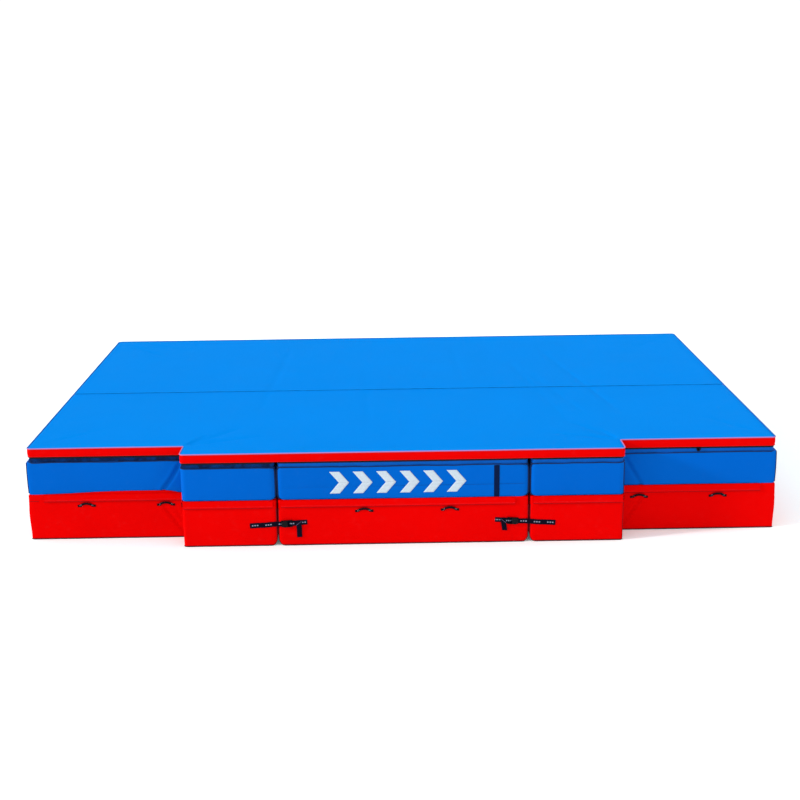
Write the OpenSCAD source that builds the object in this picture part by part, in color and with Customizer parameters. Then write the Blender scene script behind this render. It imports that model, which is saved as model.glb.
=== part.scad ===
// High-jump landing mat: three foam blocks side by side, held by cam-buckle straps,
// under one folding top pad. The front has a tongue between two notches for the stands.
// Millimetres. Origin: middle of the footprint, on the floor. +X across, +Y to the back.

/* [Landing area] */
// Width over the three blocks
mat_w = 6000; // [5200:50:8000]
// Depth from the front of the tongue to the back
mat_d = 4000; // [3000:50:5000]
// Width of the tongue between the two stand notches
tongue_w = 3500; // [2800:50:4300]
// Depth of a stand notch, from the tongue's front
notch_d = 220; // [150:5:400]

/* [Blocks] */
// Distance between the two joints between the blocks
joint_span = 2000; // [1500:50:2400]
// Air gap between neighbouring blocks
block_gap = 14; // [3:1:30]
// Height of the firm base layer
base_h = 383; // [300:1:480]
// Height of the cushion cover's solid side
cushion_side_h = 272; // [180:1:360]
// Height of the vent mesh above it
vent_h = 45; // [25:1:80]
// How far the mesh stands back from the block's face
vent_inset = 6; // [3:1:15]
// Corner radius of the base, seen from above
base_corner = 22; // [8:1:60]
// Corner radius of the cushion, seen from above
cushion_corner = 40; // [12:1:80]
// Rounding where the base meets the floor
base_foot_r = 32; // [8:1:60]
// Rounding where the cushion meets the base
cushion_foot_r = 38; // [8:1:60]
// Thickness of the coated cover fabric
cover_t = 2; // [1:0.1:4]
// Thickness of the mesh fabric
mesh_t = 1.5; // [1:0.1:3]
// Slack between a cover and its foam
core_gap = 1; // [0.5:0.1:5]

/* [Air channels] */
// Number of air channels through a base foam
channel_n = 6; // [2:1:7]
// Width of an air channel
channel_w = 260; // [100:10:320]
// Height of an air channel
channel_h = 150; // [60:5:190]

/* [Top pad] */
// Height of the folding top pad
pad_h = 77.5; // [40:0.5:120]
// Gap between the blocks and the pad
pad_lay_gap = 1; // [0.5:0.5:5]
// Depth of the front section, from the tongue's front to the fold
fold_from_front = 1860; // [1200:10:2200]
// Gap between the two sections at the fold
fold_gap = 6; // [2:1:20]
// Width of the strip that joins the sections
fold_strip_w = 60; // [30:2:120]
// Corner radius of the pad, seen from above
pad_corner = 30; // [10:1:80]
// Thickness of the pad's sheets and band
pad_sheet_t = 1.5; // [1:0.1:3]

/* [Zips] */
// How far the zip's middle lies below the base's top
zip_drop = 31; // [28:1:34]
// Height of the zip tape
tape_h = 28; // [20:1:40]
// Height of the tooth chain
chain_h = 7; // [4:0.5:10]
// Height of the flap that hangs over the zip
flap_h = 54; // [40:1:80]
// Where a flap stops, short of the block's outer corner
flap_stop = 104; // [60:1:200]
// Length of the slider's pull
pull_len = 20; // [12:1:24]

/* [Carry handles] */
// Distance between a handle's sewn ends
handle_span = 145; // [110:1:180]
// How high the webbing arches over its ends
handle_rise = 26; // [15:1:35]
// Width of the handle webbing
handle_web = 25; // [18:1:30]
// Gap between the zip flap's lower edge and the top of a handle's arch
handle_gap = 2; // [1:1:60]
// Inner handle of a side block, from the notch's side
handle_from_notch = 165; // [130:5:260]
// Outer handle of a side block, from its outer end
handle_from_end = 445; // [300:5:480]
// Middle block's left handle, from its middle
left_from_middle = 310; // [150:5:600]
// Middle block's right handle, from its middle
right_from_middle = 370; // [150:5:600]

/* [Straps and buckles] */
// Width of the strap webbing
strap_w = 42; // [30:1:50]
// Thickness of the strap webbing
strap_t = 2.2; // [1.5:0.1:3]
// Radius of a buckle's hinge pin
pin_r = 2.5; // [2:0.1:3.5]
// Length of a cam lever beyond its pin
lever_len = 43; // [30:1:52]

/* [Ties] */
// Tie strap on the middle cushion, from the right-hand joint
tie_strap_from_joint = 260; // [150:5:500]
// Width of the tie strap
tie_strap_w = 43; // [25:1:60]
// Tie ring on the right block, from the outer end
ring_from_end = 620; // [200:5:900]

/* [Hidden] */

PVC_RED = [0.88, 0.03, 0.03];
PVC_BLUE = [0.02, 0.38, 0.80];
TOP_BLUE = [0.02, 0.55, 0.95];
MESH_NAVY = [0.06, 0.16, 0.36];
FOAM = [0.86, 0.84, 0.74];
WEBBING = [0.07, 0.08, 0.16];
STEEL = [0.55, 0.56, 0.58];
BLACK_STEEL = [0.12, 0.12, 0.13];

arc_steps = 4;   // flats in each rounded corner of a soft outline
eps = 0.01;      // overlap that keeps joined shapes one solid
core_lift = 0.2; // how far a foam core lies clear of the cover under it

front_y = -mat_d / 2;
back_y = mat_d / 2;
notch_y = front_y + notch_d;
joint_x = joint_span / 2;
middle_w = joint_span - block_gap;
inner_x = joint_x + block_gap / 2;
notch_x = tongue_w / 2;
outer_x = mat_w / 2;
base_head_r = 8;
vent_z = base_h + cushion_side_h;
block_h = vent_z + vent_h;
pad_z = block_h + pad_lay_gap;
pad_top = pad_z + pad_h;
fold_y = front_y + fold_from_front;
fold_strip_t = 1.5;

// The zip, its slider and its flap stand in front of the block's face in this order.
tape_t = 1.2;
chain_out = 3.4;
slit_h = 3;
slider_clear = 0.3;
slider_len = 14;
slider_plate_t = 1.5;
slider_out = chain_out + slider_clear + slider_plate_t;
pull_t = 1;
flap_in = slider_out + pull_t + 0.8;
flap_t = 2;
flap_out = flap_in + flap_t;
header_h = 2.5;
flap_hinge_gap = 1.5;
flap_hinge_z = base_h - header_h - flap_hinge_gap;
flap_start = 25;
flap_corner_gap = 15;
zip_end = 12;
zip_z = base_h - zip_drop;

handle_t = 3;
handle_off = 1;
handle_r = (pow(handle_span / 2, 2) + pow(handle_rise, 2)) / (2 * handle_rise);
handle_a = asin(handle_span / 2 / handle_r);
handle_z = flap_hinge_z - flap_h - handle_gap - handle_rise - handle_web;

// Per side: the buckle's distance from the block joint, its height, the slope of the strap in
// degrees, the strap's reach past the joint, the anchor's reach past the buckle, and the tail's
// place past the buckle and its drop.
left_strap = [70, 188, 3.2, 221, 167, 98, 122];
right_strap = [126, 183, 4.0, 211, 146, 81, 86];

plate_in = 1;
plate_t = 2;
plate_half = 40;
strap_in = plate_in + plate_t + 0.2;
strap_out = strap_in + strap_t;
cheek_in = strap_w / 2 + 3;
cheek_t = 3;
cheek_out = 18;
pin_u = 5;
boss_r = pin_r + 3.5;
pin_out = strap_out + 0.6 + boss_r;
bar_u = 44;
bar_r = 3;
loop_clear = 0.2;
bar_out = bar_r + loop_clear + strap_t;
tail_in = bar_out + bar_r + loop_clear + strap_t + 0.8;
strap_end_u = 22;
sewn_len = 76;

tie_strap_x = joint_x - tie_strap_from_joint;
ring_x = outer_x - ring_from_end;
ring_r = 14;
ring_wire_r = 3.5;
ring_leg = 10;
ring_bar_z = block_h - 6;
ring_out = 9;
tab_half = 9;
tab_t = 2;

function unit(v) = v / norm(v);
function corner_arc(a, p, b, r) =
  let (u = unit(a - p), v = unit(b - p), c = p + (u + v) * r)
  [for (i = [0 : arc_steps]) let (t = 90 * i / arc_steps) c - r * (v * cos(t) + u * sin(t))];

// An outline of right-angled corners, with each corner rounded to its own radius.
function rounded(pts, radii) =
  let (n = len(pts))
  [for (i = [0 : n - 1]) each corner_arc(pts[(i + n - 1) % n], pts[i], pts[(i + 1) % n], radii[i])];

// Outline of a block from above, drawn in by inset. block 0 is the middle one, 1 a right one.
function block_outline(block, inset, corner) =
  let (r = max(corner - inset, 1), d = inset)
  block == 0
    ? rounded([[-middle_w / 2 + d, front_y + d], [middle_w / 2 - d, front_y + d],
               [middle_w / 2 - d, back_y - d], [-middle_w / 2 + d, back_y - d]], [r, r, r, r])
    : rounded([[inner_x + d, front_y + d], [notch_x - d, front_y + d], [notch_x - d, notch_y + d],
               [outer_x - d, notch_y + d], [outer_x - d, back_y - d], [inner_x + d, back_y - d]],
              [r, r, corner + d, r, r, r]);

module block_plan(block, inset, corner) {
  polygon(block_outline(block, inset, corner));
}

// A block's layer between two heights, rounded in plan and along its lower and upper sides.
module layer(block, inset, z0, z1, corner, foot_r, head_r) {
  x0 = block == 0 ? -middle_w / 2 + inset : inner_x + inset;
  x1 = block == 0 ? middle_w / 2 - inset : outer_x - inset;
  foot = max(foot_r - inset, 1);
  head = max(head_r - inset, 1);
  intersection() {
    translate([0, 0, z0]) linear_extrude(z1 - z0) block_plan(block, inset, corner);
    rotate([90, 0, 0]) linear_extrude(mat_d + 2, center = true)
      polygon(rounded([[x0, z0], [x1, z0], [x1, z1], [x0, z1]], [foot, foot, head, head]));
  }
}

// A band that follows a block's front, between two distances out from its face.
module front_band(block, from, to, z0, z1, x0, x1) {
  y1 = (block == 0 ? front_y : notch_y) + base_corner + 1;
  translate([0, 0, z0]) linear_extrude(z1 - z0)
    intersection() {
      difference() {
        block_plan(block, -to, base_corner);
        block_plan(block, -from, base_corner);
      }
      translate([x0, front_y - to - 1]) square([x1 - x0, y1 - front_y + to + 1]);
    }
}

// Left-hand pieces are right-hand ones mirrored.
module on_side(side) {
  mirror([side < 0 ? 1 : 0, 0, 0]) children();
}

// Where the zip and its flap run, from a block's inner side to short of its outer corner.
function flap_x0(block) = block == 0 ? -middle_w / 2 + flap_start : inner_x + flap_start;
function flap_x1(block) = (block == 0 ? middle_w / 2 : outer_x) - flap_stop;

// ---- base layer ----

module base_cover(block) {
  difference() {
    layer(block, 0, 0, base_h, base_corner, base_foot_r, base_head_r);
    layer(block, cover_t, cover_t, base_h - cover_t, base_corner, base_foot_r, base_head_r);
    front_band(block, -cover_t - core_gap / 2, 1, zip_z - slit_h / 2, zip_z + slit_h / 2,
               flap_x0(block) + zip_end, flap_x1(block) - zip_end);
  }
  // The seam that the flap hangs from.
  front_band(block, -eps, flap_out, base_h - header_h, base_h, flap_x0(block), flap_x1(block));
  // The short flap down the notch's side is sewn at both ends and doesn't lift.
  if (block != 0)
    translate([notch_x + flap_in, front_y + flap_corner_gap, flap_hinge_z - flap_h])
      cube([flap_t, notch_d - 2 * flap_corner_gap, flap_h + base_h - flap_hinge_z]);
}

module base_core(block) {
  in = cover_t + core_gap;
  pitch = (mat_d - notch_d) / channel_n;
  difference() {
    layer(block, in, cover_t + core_lift, base_h - in, base_corner, base_foot_r, base_head_r);
    for (i = [0 : channel_n - 1])
      translate([-mat_w, notch_y + pitch * (i + 0.5) - channel_w / 2, (base_h - channel_h) / 2])
        cube([2 * mat_w, channel_w, channel_h]);
  }
}

// ---- cushion layer ----

module cushion_cover(block) {
  difference() {
    layer(block, 0, base_h, vent_z, cushion_corner, cushion_foot_r, 1);
    difference() {
      layer(block, cover_t, base_h + cover_t, vent_z + 50, cushion_corner, cushion_foot_r, 1);
      translate([-mat_w, -mat_d, vent_z + 1]) cube([2 * mat_w, 2 * mat_d, 50]);
    }
  }
}

module cushion_core(block) {
  low = cover_t + core_gap;
  high = vent_inset + mesh_t + core_gap;
  layer(block, low, base_h + cover_t + core_lift, vent_z - core_gap, cushion_corner, cushion_foot_r, 1);
  translate([0, 0, vent_z - core_gap - eps])
    linear_extrude(vent_h - mesh_t + eps) block_plan(block, high, cushion_corner);
}

// An upside-down tray of mesh: a flange on the cover's rim, a standing wall and the top.
module vent_mesh(block) {
  difference() {
    union() {
      translate([0, 0, vent_z]) linear_extrude(vent_h)
        block_plan(block, vent_inset, cushion_corner);
      translate([0, 0, vent_z]) linear_extrude(mesh_t) block_plan(block, 0.5, cushion_corner);
    }
    translate([0, 0, vent_z - 1]) linear_extrude(vent_h + 1 - mesh_t)
      block_plan(block, vent_inset + mesh_t, cushion_corner);
  }
}

// ---- zips ----

module zip(block) {
  x0 = flap_x0(block);
  x1 = flap_x1(block) - zip_end / 2;
  front_band(block, 0, tape_t, zip_z + 0.5, zip_z + tape_h / 2, x0, x1);
  front_band(block, 0, tape_t, zip_z - tape_h / 2, zip_z - 0.5, x0, x1);
  front_band(block, tape_t, chain_out, zip_z - chain_h / 2, zip_z + chain_h / 2, x0, x1);
}

// The slider is parked at the closed end, near the block's outer corner.
module zip_slider(block) {
  face = block == 0 ? front_y : notch_y;
  wing = chain_h / 2 + slider_clear;
  wing_t = 2.2;
  translate([flap_x1(block) - zip_end - slider_len, face, zip_z]) {
    translate([0, -slider_out, -wing - wing_t])
      cube([slider_len, slider_plate_t, 2 * (wing + wing_t)]);
    for (z = [-wing - wing_t, wing])
      translate([0, -slider_out, z]) cube([slider_len, slider_out - tape_t - slider_clear, wing_t]);
    translate([slider_len / 2 - 3, -slider_out - pull_t, -pull_len])
      cube([6, pull_t + eps, pull_len]);
  }
}

module flap_sheet(x0, x1, face) {
  translate([x0, face - flap_out, flap_hinge_z - flap_h]) cube([x1 - x0, flap_t, flap_h]);
}

module zip_flap(block) {
  x0 = block == 0 ? flap_x0(0) : notch_x + flap_corner_gap;
  flap_sheet(x0, flap_x1(block), block == 0 ? front_y : notch_y);
}

module tongue_flap() {
  flap_sheet(flap_x0(1), notch_x - 5, front_y);
}

// ---- carry handles ----

// An arch of webbing that stands up from its two sewn ends, flat to the block's face.
module handle(x, face) {
  back = face > 0 && face == back_y;
  y = back ? face + handle_off : face - handle_off - handle_t;
  steps = 10;
  arch = [for (i = [0 : steps]) let (a = -handle_a + 2 * handle_a * i / steps) [sin(a), cos(a)]];
  drop = handle_r * cos(handle_a);
  outer = [for (p = arch) p * (handle_r + handle_web)];
  inner = [for (i = [steps : -1 : 0]) arch[i] * handle_r];
  translate([x, y + handle_t, handle_z - drop]) rotate([90, 0, 0])
    linear_extrude(handle_t) intersection() {
      polygon(concat(outer, inner));
      translate([-handle_span, drop]) square([2 * handle_span, 2 * handle_r]);
    }
}

module side_handle(side, face, outer) {
  x = outer ? outer_x - handle_from_end : notch_x + handle_from_notch;
  on_side(side) handle(x, face);
}

// ---- straps and cam buckles ----

// Puts a left-hand buckle, drawn around its own middle with its front towards -Y, in its place
// on the front or the back of the middle block. side is -1 on the left and 1 on the right.
module at_buckle(side, strap, back) {
  mirror([side > 0 ? 1 : 0, 0, 0]) mirror([0, back ? 1 : 0, 0])
    translate([strap[0] - joint_x, front_y, strap[1]]) rotate([0, -strap[2], 0]) children();
}

module buckle_frame() {
  translate([-plate_half, -plate_in - plate_t, -cheek_in - cheek_t])
    cube([2 * plate_half - 4, plate_t, 2 * (cheek_in + cheek_t)]);
  for (z = [-cheek_in - cheek_t, cheek_in])
    translate([-24, -cheek_out, z]) cube([bar_u + 24 + bar_r + 2, cheek_out - plate_in, cheek_t]);
  translate([pin_u, -pin_out, -cheek_in - eps]) cylinder(h = 2 * (cheek_in + eps), r = pin_r, $fn = 32);
  translate([bar_u, -bar_out, -cheek_in - eps]) cylinder(h = 2 * (cheek_in + eps), r = bar_r, $fn = 32);
}

module buckle_anchor(reach) {
  half = strap_w / 2;
  difference() {
    union() {
      translate([bar_u, -bar_out, -half]) cylinder(h = strap_w, r = bar_r + loop_clear + strap_t, $fn = 32);
      translate([bar_u, -strap_t, -half]) cube([reach - bar_u, strap_t, strap_w]);
    }
    translate([bar_u, -bar_out, -half - 1]) cylinder(h = strap_w + 2, r = bar_r + loop_clear, $fn = 32);
  }
}

module cam_lever() {
  half = cheek_in - 1;
  difference() {
    union() {
      translate([pin_u, -pin_out, -half]) cylinder(h = 2 * half, r = boss_r, $fn = 32);
      translate([pin_u - lever_len, -pin_out - boss_r, -half]) cube([lever_len, 3, 2 * half]);
    }
    translate([pin_u, -pin_out, -half - 1]) cylinder(h = 2 * half + 2, r = pin_r + 0.2, $fn = 32);
  }
}

module long_strap(strap) {
  reach = strap[0] + strap[3];
  translate([-reach, -strap_out, -strap_w / 2]) cube([reach + strap_end_u, strap_t, strap_w]);
  translate([-reach, -strap_out, -strap_w / 2]) cube([sewn_len, strap_out, strap_w]);
}

// The loose end rises over the anchor and then hangs down the block's face.
module strap_tail(place, drop) {
  start = strap_end_u + 0.5;
  rise = bar_u - bar_r - 4;
  run = place + strap_w / 2;
  translate([0, 0, strap_w / 2]) rotate([180, 0, 0]) linear_extrude(strap_w)
    polygon([[start, strap_in], [start, strap_out], [rise, tail_in + strap_t], [run, tail_in + strap_t],
             [run, tail_in], [rise + 1, tail_in]]);
  translate([run - strap_w, -tail_in - strap_t, -drop])
    cube([strap_w, strap_t, drop - strap_w / 2 + eps]);
}

// ---- ties ----

module d_ring() {
  y = notch_y + vent_inset - ring_out;
  translate([ring_x, y, ring_bar_z]) {
    rotate([0, 90, 0]) cylinder(h = 2 * ring_r, r = ring_wire_r, center = true, $fn = 32);
    for (s = [-1, 1]) translate([s * ring_r, 0, 0]) {
      sphere(r = ring_wire_r, $fn = 32);
      translate([0, 0, -ring_leg]) cylinder(h = ring_leg, r = ring_wire_r, $fn = 32);
    }
    translate([0, 0, -ring_leg]) rotate([90, 180, 0]) rotate_extrude(angle = 180, $fn = 48)
      translate([ring_r, 0]) circle(r = ring_wire_r, $fn = 32);
  }
}

module ring_tab() {
  face = notch_y + vent_inset;
  loop_r = ring_wire_r + 0.5;
  translate([ring_x - tab_half, 0, 0]) {
    translate([0, face - tab_t, block_h - vent_h + 8])
      cube([2 * tab_half, tab_t, vent_h - 9]);
    difference() {
      union() {
        translate([0, face - ring_out, ring_bar_z]) rotate([0, 90, 0])
          cylinder(h = 2 * tab_half, r = loop_r + tab_t - 0.6, $fn = 32);
        translate([0, face - ring_out, ring_bar_z - 2]) cube([2 * tab_half, ring_out - tab_t + eps, 4]);
      }
      translate([-1, face - ring_out, ring_bar_z]) rotate([0, 90, 0])
        cylinder(h = 2 * tab_half + 2, r = loop_r, $fn = 32);
    }
  }
}

// ---- top pad ----

function pad_front_outline(d) =
  let (r = max(pad_corner - d, 1), f = fold_y - fold_gap / 2)
  rounded([[-notch_x + d, front_y + d], [notch_x - d, front_y + d], [notch_x - d, notch_y + d],
           [outer_x - d, notch_y + d], [outer_x - d, f - d], [-outer_x + d, f - d],
           [-outer_x + d, notch_y + d], [-notch_x + d, notch_y + d]],
          [r, r, pad_corner + d, r, 2, 2, r, pad_corner + d]);
function pad_rear_outline(d) =
  let (r = max(pad_corner - d, 1), f = fold_y + fold_gap / 2)
  rounded([[-outer_x + d, f + d], [outer_x - d, f + d], [outer_x - d, back_y - d],
           [-outer_x + d, back_y - d]], [2, 2, r, r]);

module pad_plan(rear, inset) {
  polygon(rear ? pad_rear_outline(inset) : pad_front_outline(inset));
}
module pad_sheet(rear, z) {
  translate([0, 0, z]) linear_extrude(pad_sheet_t) pad_plan(rear, 0);
}
module pad_band(rear) {
  translate([0, 0, pad_z + pad_sheet_t]) linear_extrude(pad_h - 2 * pad_sheet_t) difference() {
    pad_plan(rear, 0);
    pad_plan(rear, pad_sheet_t);
  }
}
module pad_core(rear) {
  translate([0, 0, pad_z + pad_sheet_t]) linear_extrude(pad_h - 2 * pad_sheet_t - core_gap)
    pad_plan(rear, pad_sheet_t + core_gap);
}

// ---- named pieces ----

module middle_base_cover() color(PVC_RED) base_cover(0);
module middle_base_core() color(FOAM) base_core(0);
module middle_cushion_cover() color(PVC_BLUE) cushion_cover(0);
module middle_cushion_core() color(FOAM) cushion_core(0);
module middle_vent_mesh() color(MESH_NAVY) vent_mesh(0);
module middle_zip() color(WEBBING) zip(0);
module middle_zip_slider() color(STEEL) zip_slider(0);
module middle_zip_flap() color(PVC_RED) zip_flap(0);

module left_base_cover() color(PVC_RED) on_side(-1) base_cover(1);
module left_base_core() color(FOAM) on_side(-1) base_core(1);
module left_cushion_cover() color(PVC_BLUE) on_side(-1) cushion_cover(1);
module left_cushion_core() color(FOAM) on_side(-1) cushion_core(1);
module left_vent_mesh() color(MESH_NAVY) on_side(-1) vent_mesh(1);
module left_zip() color(WEBBING) on_side(-1) zip(1);
module left_zip_slider() color(STEEL) on_side(-1) zip_slider(1);
module left_zip_flap() color(PVC_RED) on_side(-1) zip_flap(1);
module left_tongue_flap() color(PVC_RED) on_side(-1) tongue_flap();

module right_base_cover() color(PVC_RED) base_cover(1);
module right_base_core() color(FOAM) base_core(1);
module right_cushion_cover() color(PVC_BLUE) cushion_cover(1);
module right_cushion_core() color(FOAM) cushion_core(1);
module right_vent_mesh() color(MESH_NAVY) vent_mesh(1);
module right_zip() color(WEBBING) zip(1);
module right_zip_slider() color(STEEL) zip_slider(1);
module right_zip_flap() color(PVC_RED) zip_flap(1);
module right_tongue_flap() color(PVC_RED) tongue_flap();

module left_straps() color(WEBBING)
  for (back = [false, true]) at_buckle(-1, left_strap, back) long_strap(left_strap);
module right_straps() color(WEBBING)
  for (back = [false, true]) at_buckle(1, right_strap, back) long_strap(right_strap);
module strap_tails() color(WEBBING)
  for (back = [false, true]) {
    at_buckle(-1, left_strap, back) strap_tail(left_strap[5], left_strap[6]);
    at_buckle(1, right_strap, back) strap_tail(right_strap[5], right_strap[6]);
  }
module buckle_frames() color(BLACK_STEEL)
  for (back = [false, true]) {
    at_buckle(-1, left_strap, back) buckle_frame();
    at_buckle(1, right_strap, back) buckle_frame();
  }
module buckle_anchors() color(WEBBING)
  for (back = [false, true]) {
    at_buckle(-1, left_strap, back) buckle_anchor(left_strap[4]);
    at_buckle(1, right_strap, back) buckle_anchor(right_strap[4]);
  }
module left_front_lever() color(BLACK_STEEL) at_buckle(-1, left_strap, false) cam_lever();
module left_back_lever() color(BLACK_STEEL) at_buckle(-1, left_strap, true) cam_lever();
module right_front_lever() color(BLACK_STEEL) at_buckle(1, right_strap, false) cam_lever();
module right_back_lever() color(BLACK_STEEL) at_buckle(1, right_strap, true) cam_lever();

module cushion_tie_strap() color(WEBBING)
  translate([tie_strap_x - tie_strap_w / 2, front_y - strap_t, base_h + cushion_foot_r / 8])
    cube([tie_strap_w, strap_t, cushion_side_h - cushion_foot_r / 8]);
module right_tie_ring() color(BLACK_STEEL) d_ring();
module right_tie_tab() color(WEBBING) ring_tab();

module left_front_outer_handle() color(WEBBING) side_handle(-1, notch_y, true);
module left_front_inner_handle() color(WEBBING) side_handle(-1, notch_y, false);
module middle_front_left_handle() color(WEBBING) handle(-left_from_middle, front_y);
module middle_front_right_handle() color(WEBBING) handle(right_from_middle, front_y);
module right_front_inner_handle() color(WEBBING) side_handle(1, notch_y, false);
module right_front_outer_handle() color(WEBBING) side_handle(1, notch_y, true);
module left_back_outer_handle() color(WEBBING) side_handle(-1, back_y, true);
module left_back_inner_handle() color(WEBBING) side_handle(-1, back_y, false);
module middle_back_left_handle() color(WEBBING) handle(-left_from_middle, back_y);
module middle_back_right_handle() color(WEBBING) handle(right_from_middle, back_y);
module right_back_inner_handle() color(WEBBING) side_handle(1, back_y, false);
module right_back_outer_handle() color(WEBBING) side_handle(1, back_y, true);

module pad_front_core() color(FOAM) pad_core(false);
module pad_front_underside() color(PVC_BLUE) pad_sheet(false, pad_z);
module pad_front_band() color(PVC_RED) pad_band(false);
module pad_front_top() color(TOP_BLUE) pad_sheet(false, pad_top - pad_sheet_t);
module pad_rear_core() color(FOAM) pad_core(true);
module pad_rear_underside() color(PVC_BLUE) pad_sheet(true, pad_z);
module pad_rear_band() color(PVC_RED) pad_band(true);
module pad_rear_top() color(TOP_BLUE) pad_sheet(true, pad_top - pad_sheet_t);
module pad_fold_strip() color(TOP_BLUE)
  translate([-outer_x + 4, fold_y - fold_strip_w / 2, pad_top])
    cube([2 * outer_x - 8, fold_strip_w, fold_strip_t]);

middle_base_cover();
middle_base_core();
middle_cushion_cover();
middle_cushion_core();
middle_vent_mesh();
middle_zip();
middle_zip_slider();
middle_zip_flap();
left_base_cover();
left_base_core();
left_cushion_cover();
left_cushion_core();
left_vent_mesh();
left_zip();
left_zip_slider();
left_zip_flap();
left_tongue_flap();
right_base_cover();
right_base_core();
right_cushion_cover();
right_cushion_core();
right_vent_mesh();
right_zip();
right_zip_slider();
right_zip_flap();
right_tongue_flap();
left_straps();
right_straps();
strap_tails();
buckle_frames();
buckle_anchors();
left_front_lever();
left_back_lever();
right_front_lever();
right_back_lever();
cushion_tie_strap();
right_tie_ring();
right_tie_tab();
left_front_outer_handle();
left_front_inner_handle();
middle_front_left_handle();
middle_front_right_handle();
right_front_inner_handle();
right_front_outer_handle();
left_back_outer_handle();
left_back_inner_handle();
middle_back_left_handle();
middle_back_right_handle();
right_back_inner_handle();
right_back_outer_handle();
pad_front_core();
pad_front_underside();
pad_front_band();
pad_front_top();
pad_rear_core();
pad_rear_underside();
pad_rear_band();
pad_rear_top();
pad_fold_strip();
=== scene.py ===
import math
from collections import namedtuple

import bmesh
import bpy
from mathutils import Matrix, Vector, noise


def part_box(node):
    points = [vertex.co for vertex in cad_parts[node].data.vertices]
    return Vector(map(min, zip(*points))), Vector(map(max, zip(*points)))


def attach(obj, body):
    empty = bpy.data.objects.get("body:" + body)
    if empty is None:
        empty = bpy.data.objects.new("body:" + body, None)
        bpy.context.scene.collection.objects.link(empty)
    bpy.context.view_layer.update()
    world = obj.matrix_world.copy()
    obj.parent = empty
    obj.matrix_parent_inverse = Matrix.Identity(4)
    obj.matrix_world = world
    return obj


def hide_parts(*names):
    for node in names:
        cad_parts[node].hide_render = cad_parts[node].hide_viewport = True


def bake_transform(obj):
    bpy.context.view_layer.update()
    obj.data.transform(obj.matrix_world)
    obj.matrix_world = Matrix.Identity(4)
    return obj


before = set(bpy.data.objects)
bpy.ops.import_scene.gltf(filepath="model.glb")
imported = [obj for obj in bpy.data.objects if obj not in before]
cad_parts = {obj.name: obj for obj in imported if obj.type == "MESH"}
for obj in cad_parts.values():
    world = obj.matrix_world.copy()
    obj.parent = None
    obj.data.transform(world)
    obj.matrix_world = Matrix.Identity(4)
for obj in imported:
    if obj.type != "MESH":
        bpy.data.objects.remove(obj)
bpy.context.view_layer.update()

# ---- places taken from the frame, in metres ----

MIDDLE_LOW, MIDDLE_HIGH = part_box("middle_cushion_cover")
RIGHT_LOW, RIGHT_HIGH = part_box("right_cushion_cover")
FRONT, BACK = MIDDLE_LOW.y, MIDDLE_HIGH.y
MIDDLE_X = MIDDLE_HIGH.x
INNER_X, OUTER_X = RIGHT_LOW.x, RIGHT_HIGH.x
BASE_TOP, CUSHION_TOP = MIDDLE_LOW.z, MIDDLE_HIGH.z
VENT_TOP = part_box("middle_vent_mesh")[1].z
PAD_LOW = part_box("pad_front_underside")[0].z
PAD_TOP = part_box("pad_front_top")[1].z
HANDLE_BACK_GAP = 0.001
NOTCH_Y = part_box("right_front_outer_handle")[1].y + HANDLE_BACK_GAP
TONGUE_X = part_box("right_tongue_flap")[1].x + 0.005
FLAP_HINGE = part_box("middle_zip_flap")[1].z
FLAP_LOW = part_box("middle_zip_flap")[0].z
TUCK_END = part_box("left_zip_flap")[0].x + 0.01
FOLD_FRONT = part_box("pad_front_top")[1].y
FOLD_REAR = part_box("pad_rear_top")[0].y
FOLD_Y = (FOLD_FRONT + FOLD_REAR) / 2

# ---- cutting and sewing sizes, in metres ----

BASE_CORNER = 0.022
CUSHION_CORNER = 0.040
PAD_CORNER = 0.030
NOTCH_SEAM = 0.006      # radius of the inward corner in the notch
BASE_FOOT = 0.032       # how far the base's sides round in above the floor
BASE_CUT = 0.044        # height of the slack corner at the foot of each joint
BASE_PIPING_TOP = BASE_TOP - 0.070
CUSHION_FOOT = 0.038
VENT_INSET = 0.006
FOAM_GAP = 0.012        # from a foam's top and bottom to its cover's
PIPING_R = 0.0042
FOOT_SHADOW_CORD_R = 0.0050
SIDES = ("left", "middle", "right")


# ---- shader recipes ----

class Wire:
    """A shader socket. An expression on wires and numbers adds the Math nodes that work it out."""

    def __init__(self, recipe, socket):
        self.recipe, self.socket = recipe, socket

    def math(self, operation, *values):
        return self.recipe.node("Math", {"operation": operation}, dict(enumerate(values)))

    def __add__(self, other):
        return self.math("ADD", self, other)

    def __radd__(self, other):
        return self.math("ADD", other, self)

    def __sub__(self, other):
        return self.math("SUBTRACT", self, other)

    def __rsub__(self, other):
        return self.math("SUBTRACT", other, self)

    def __mul__(self, other):
        return self.math("MULTIPLY", self, other)

    def __rmul__(self, other):
        return self.math("MULTIPLY", other, self)

    def __truediv__(self, other):
        return self.math("DIVIDE", self, other)

    def __rtruediv__(self, other):
        return self.math("DIVIDE", other, self)

    def __lt__(self, other):
        return self.math("LESS_THAN", self, other)

    def __gt__(self, other):
        return self.math("GREATER_THAN", self, other)

    def __abs__(self):
        return self.math("ABSOLUTE", self)

    def sin(self):
        return self.math("SINE", self)

    def part(self):
        """What is left of a number past its whole part."""
        return self.math("FRACT", self)


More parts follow.
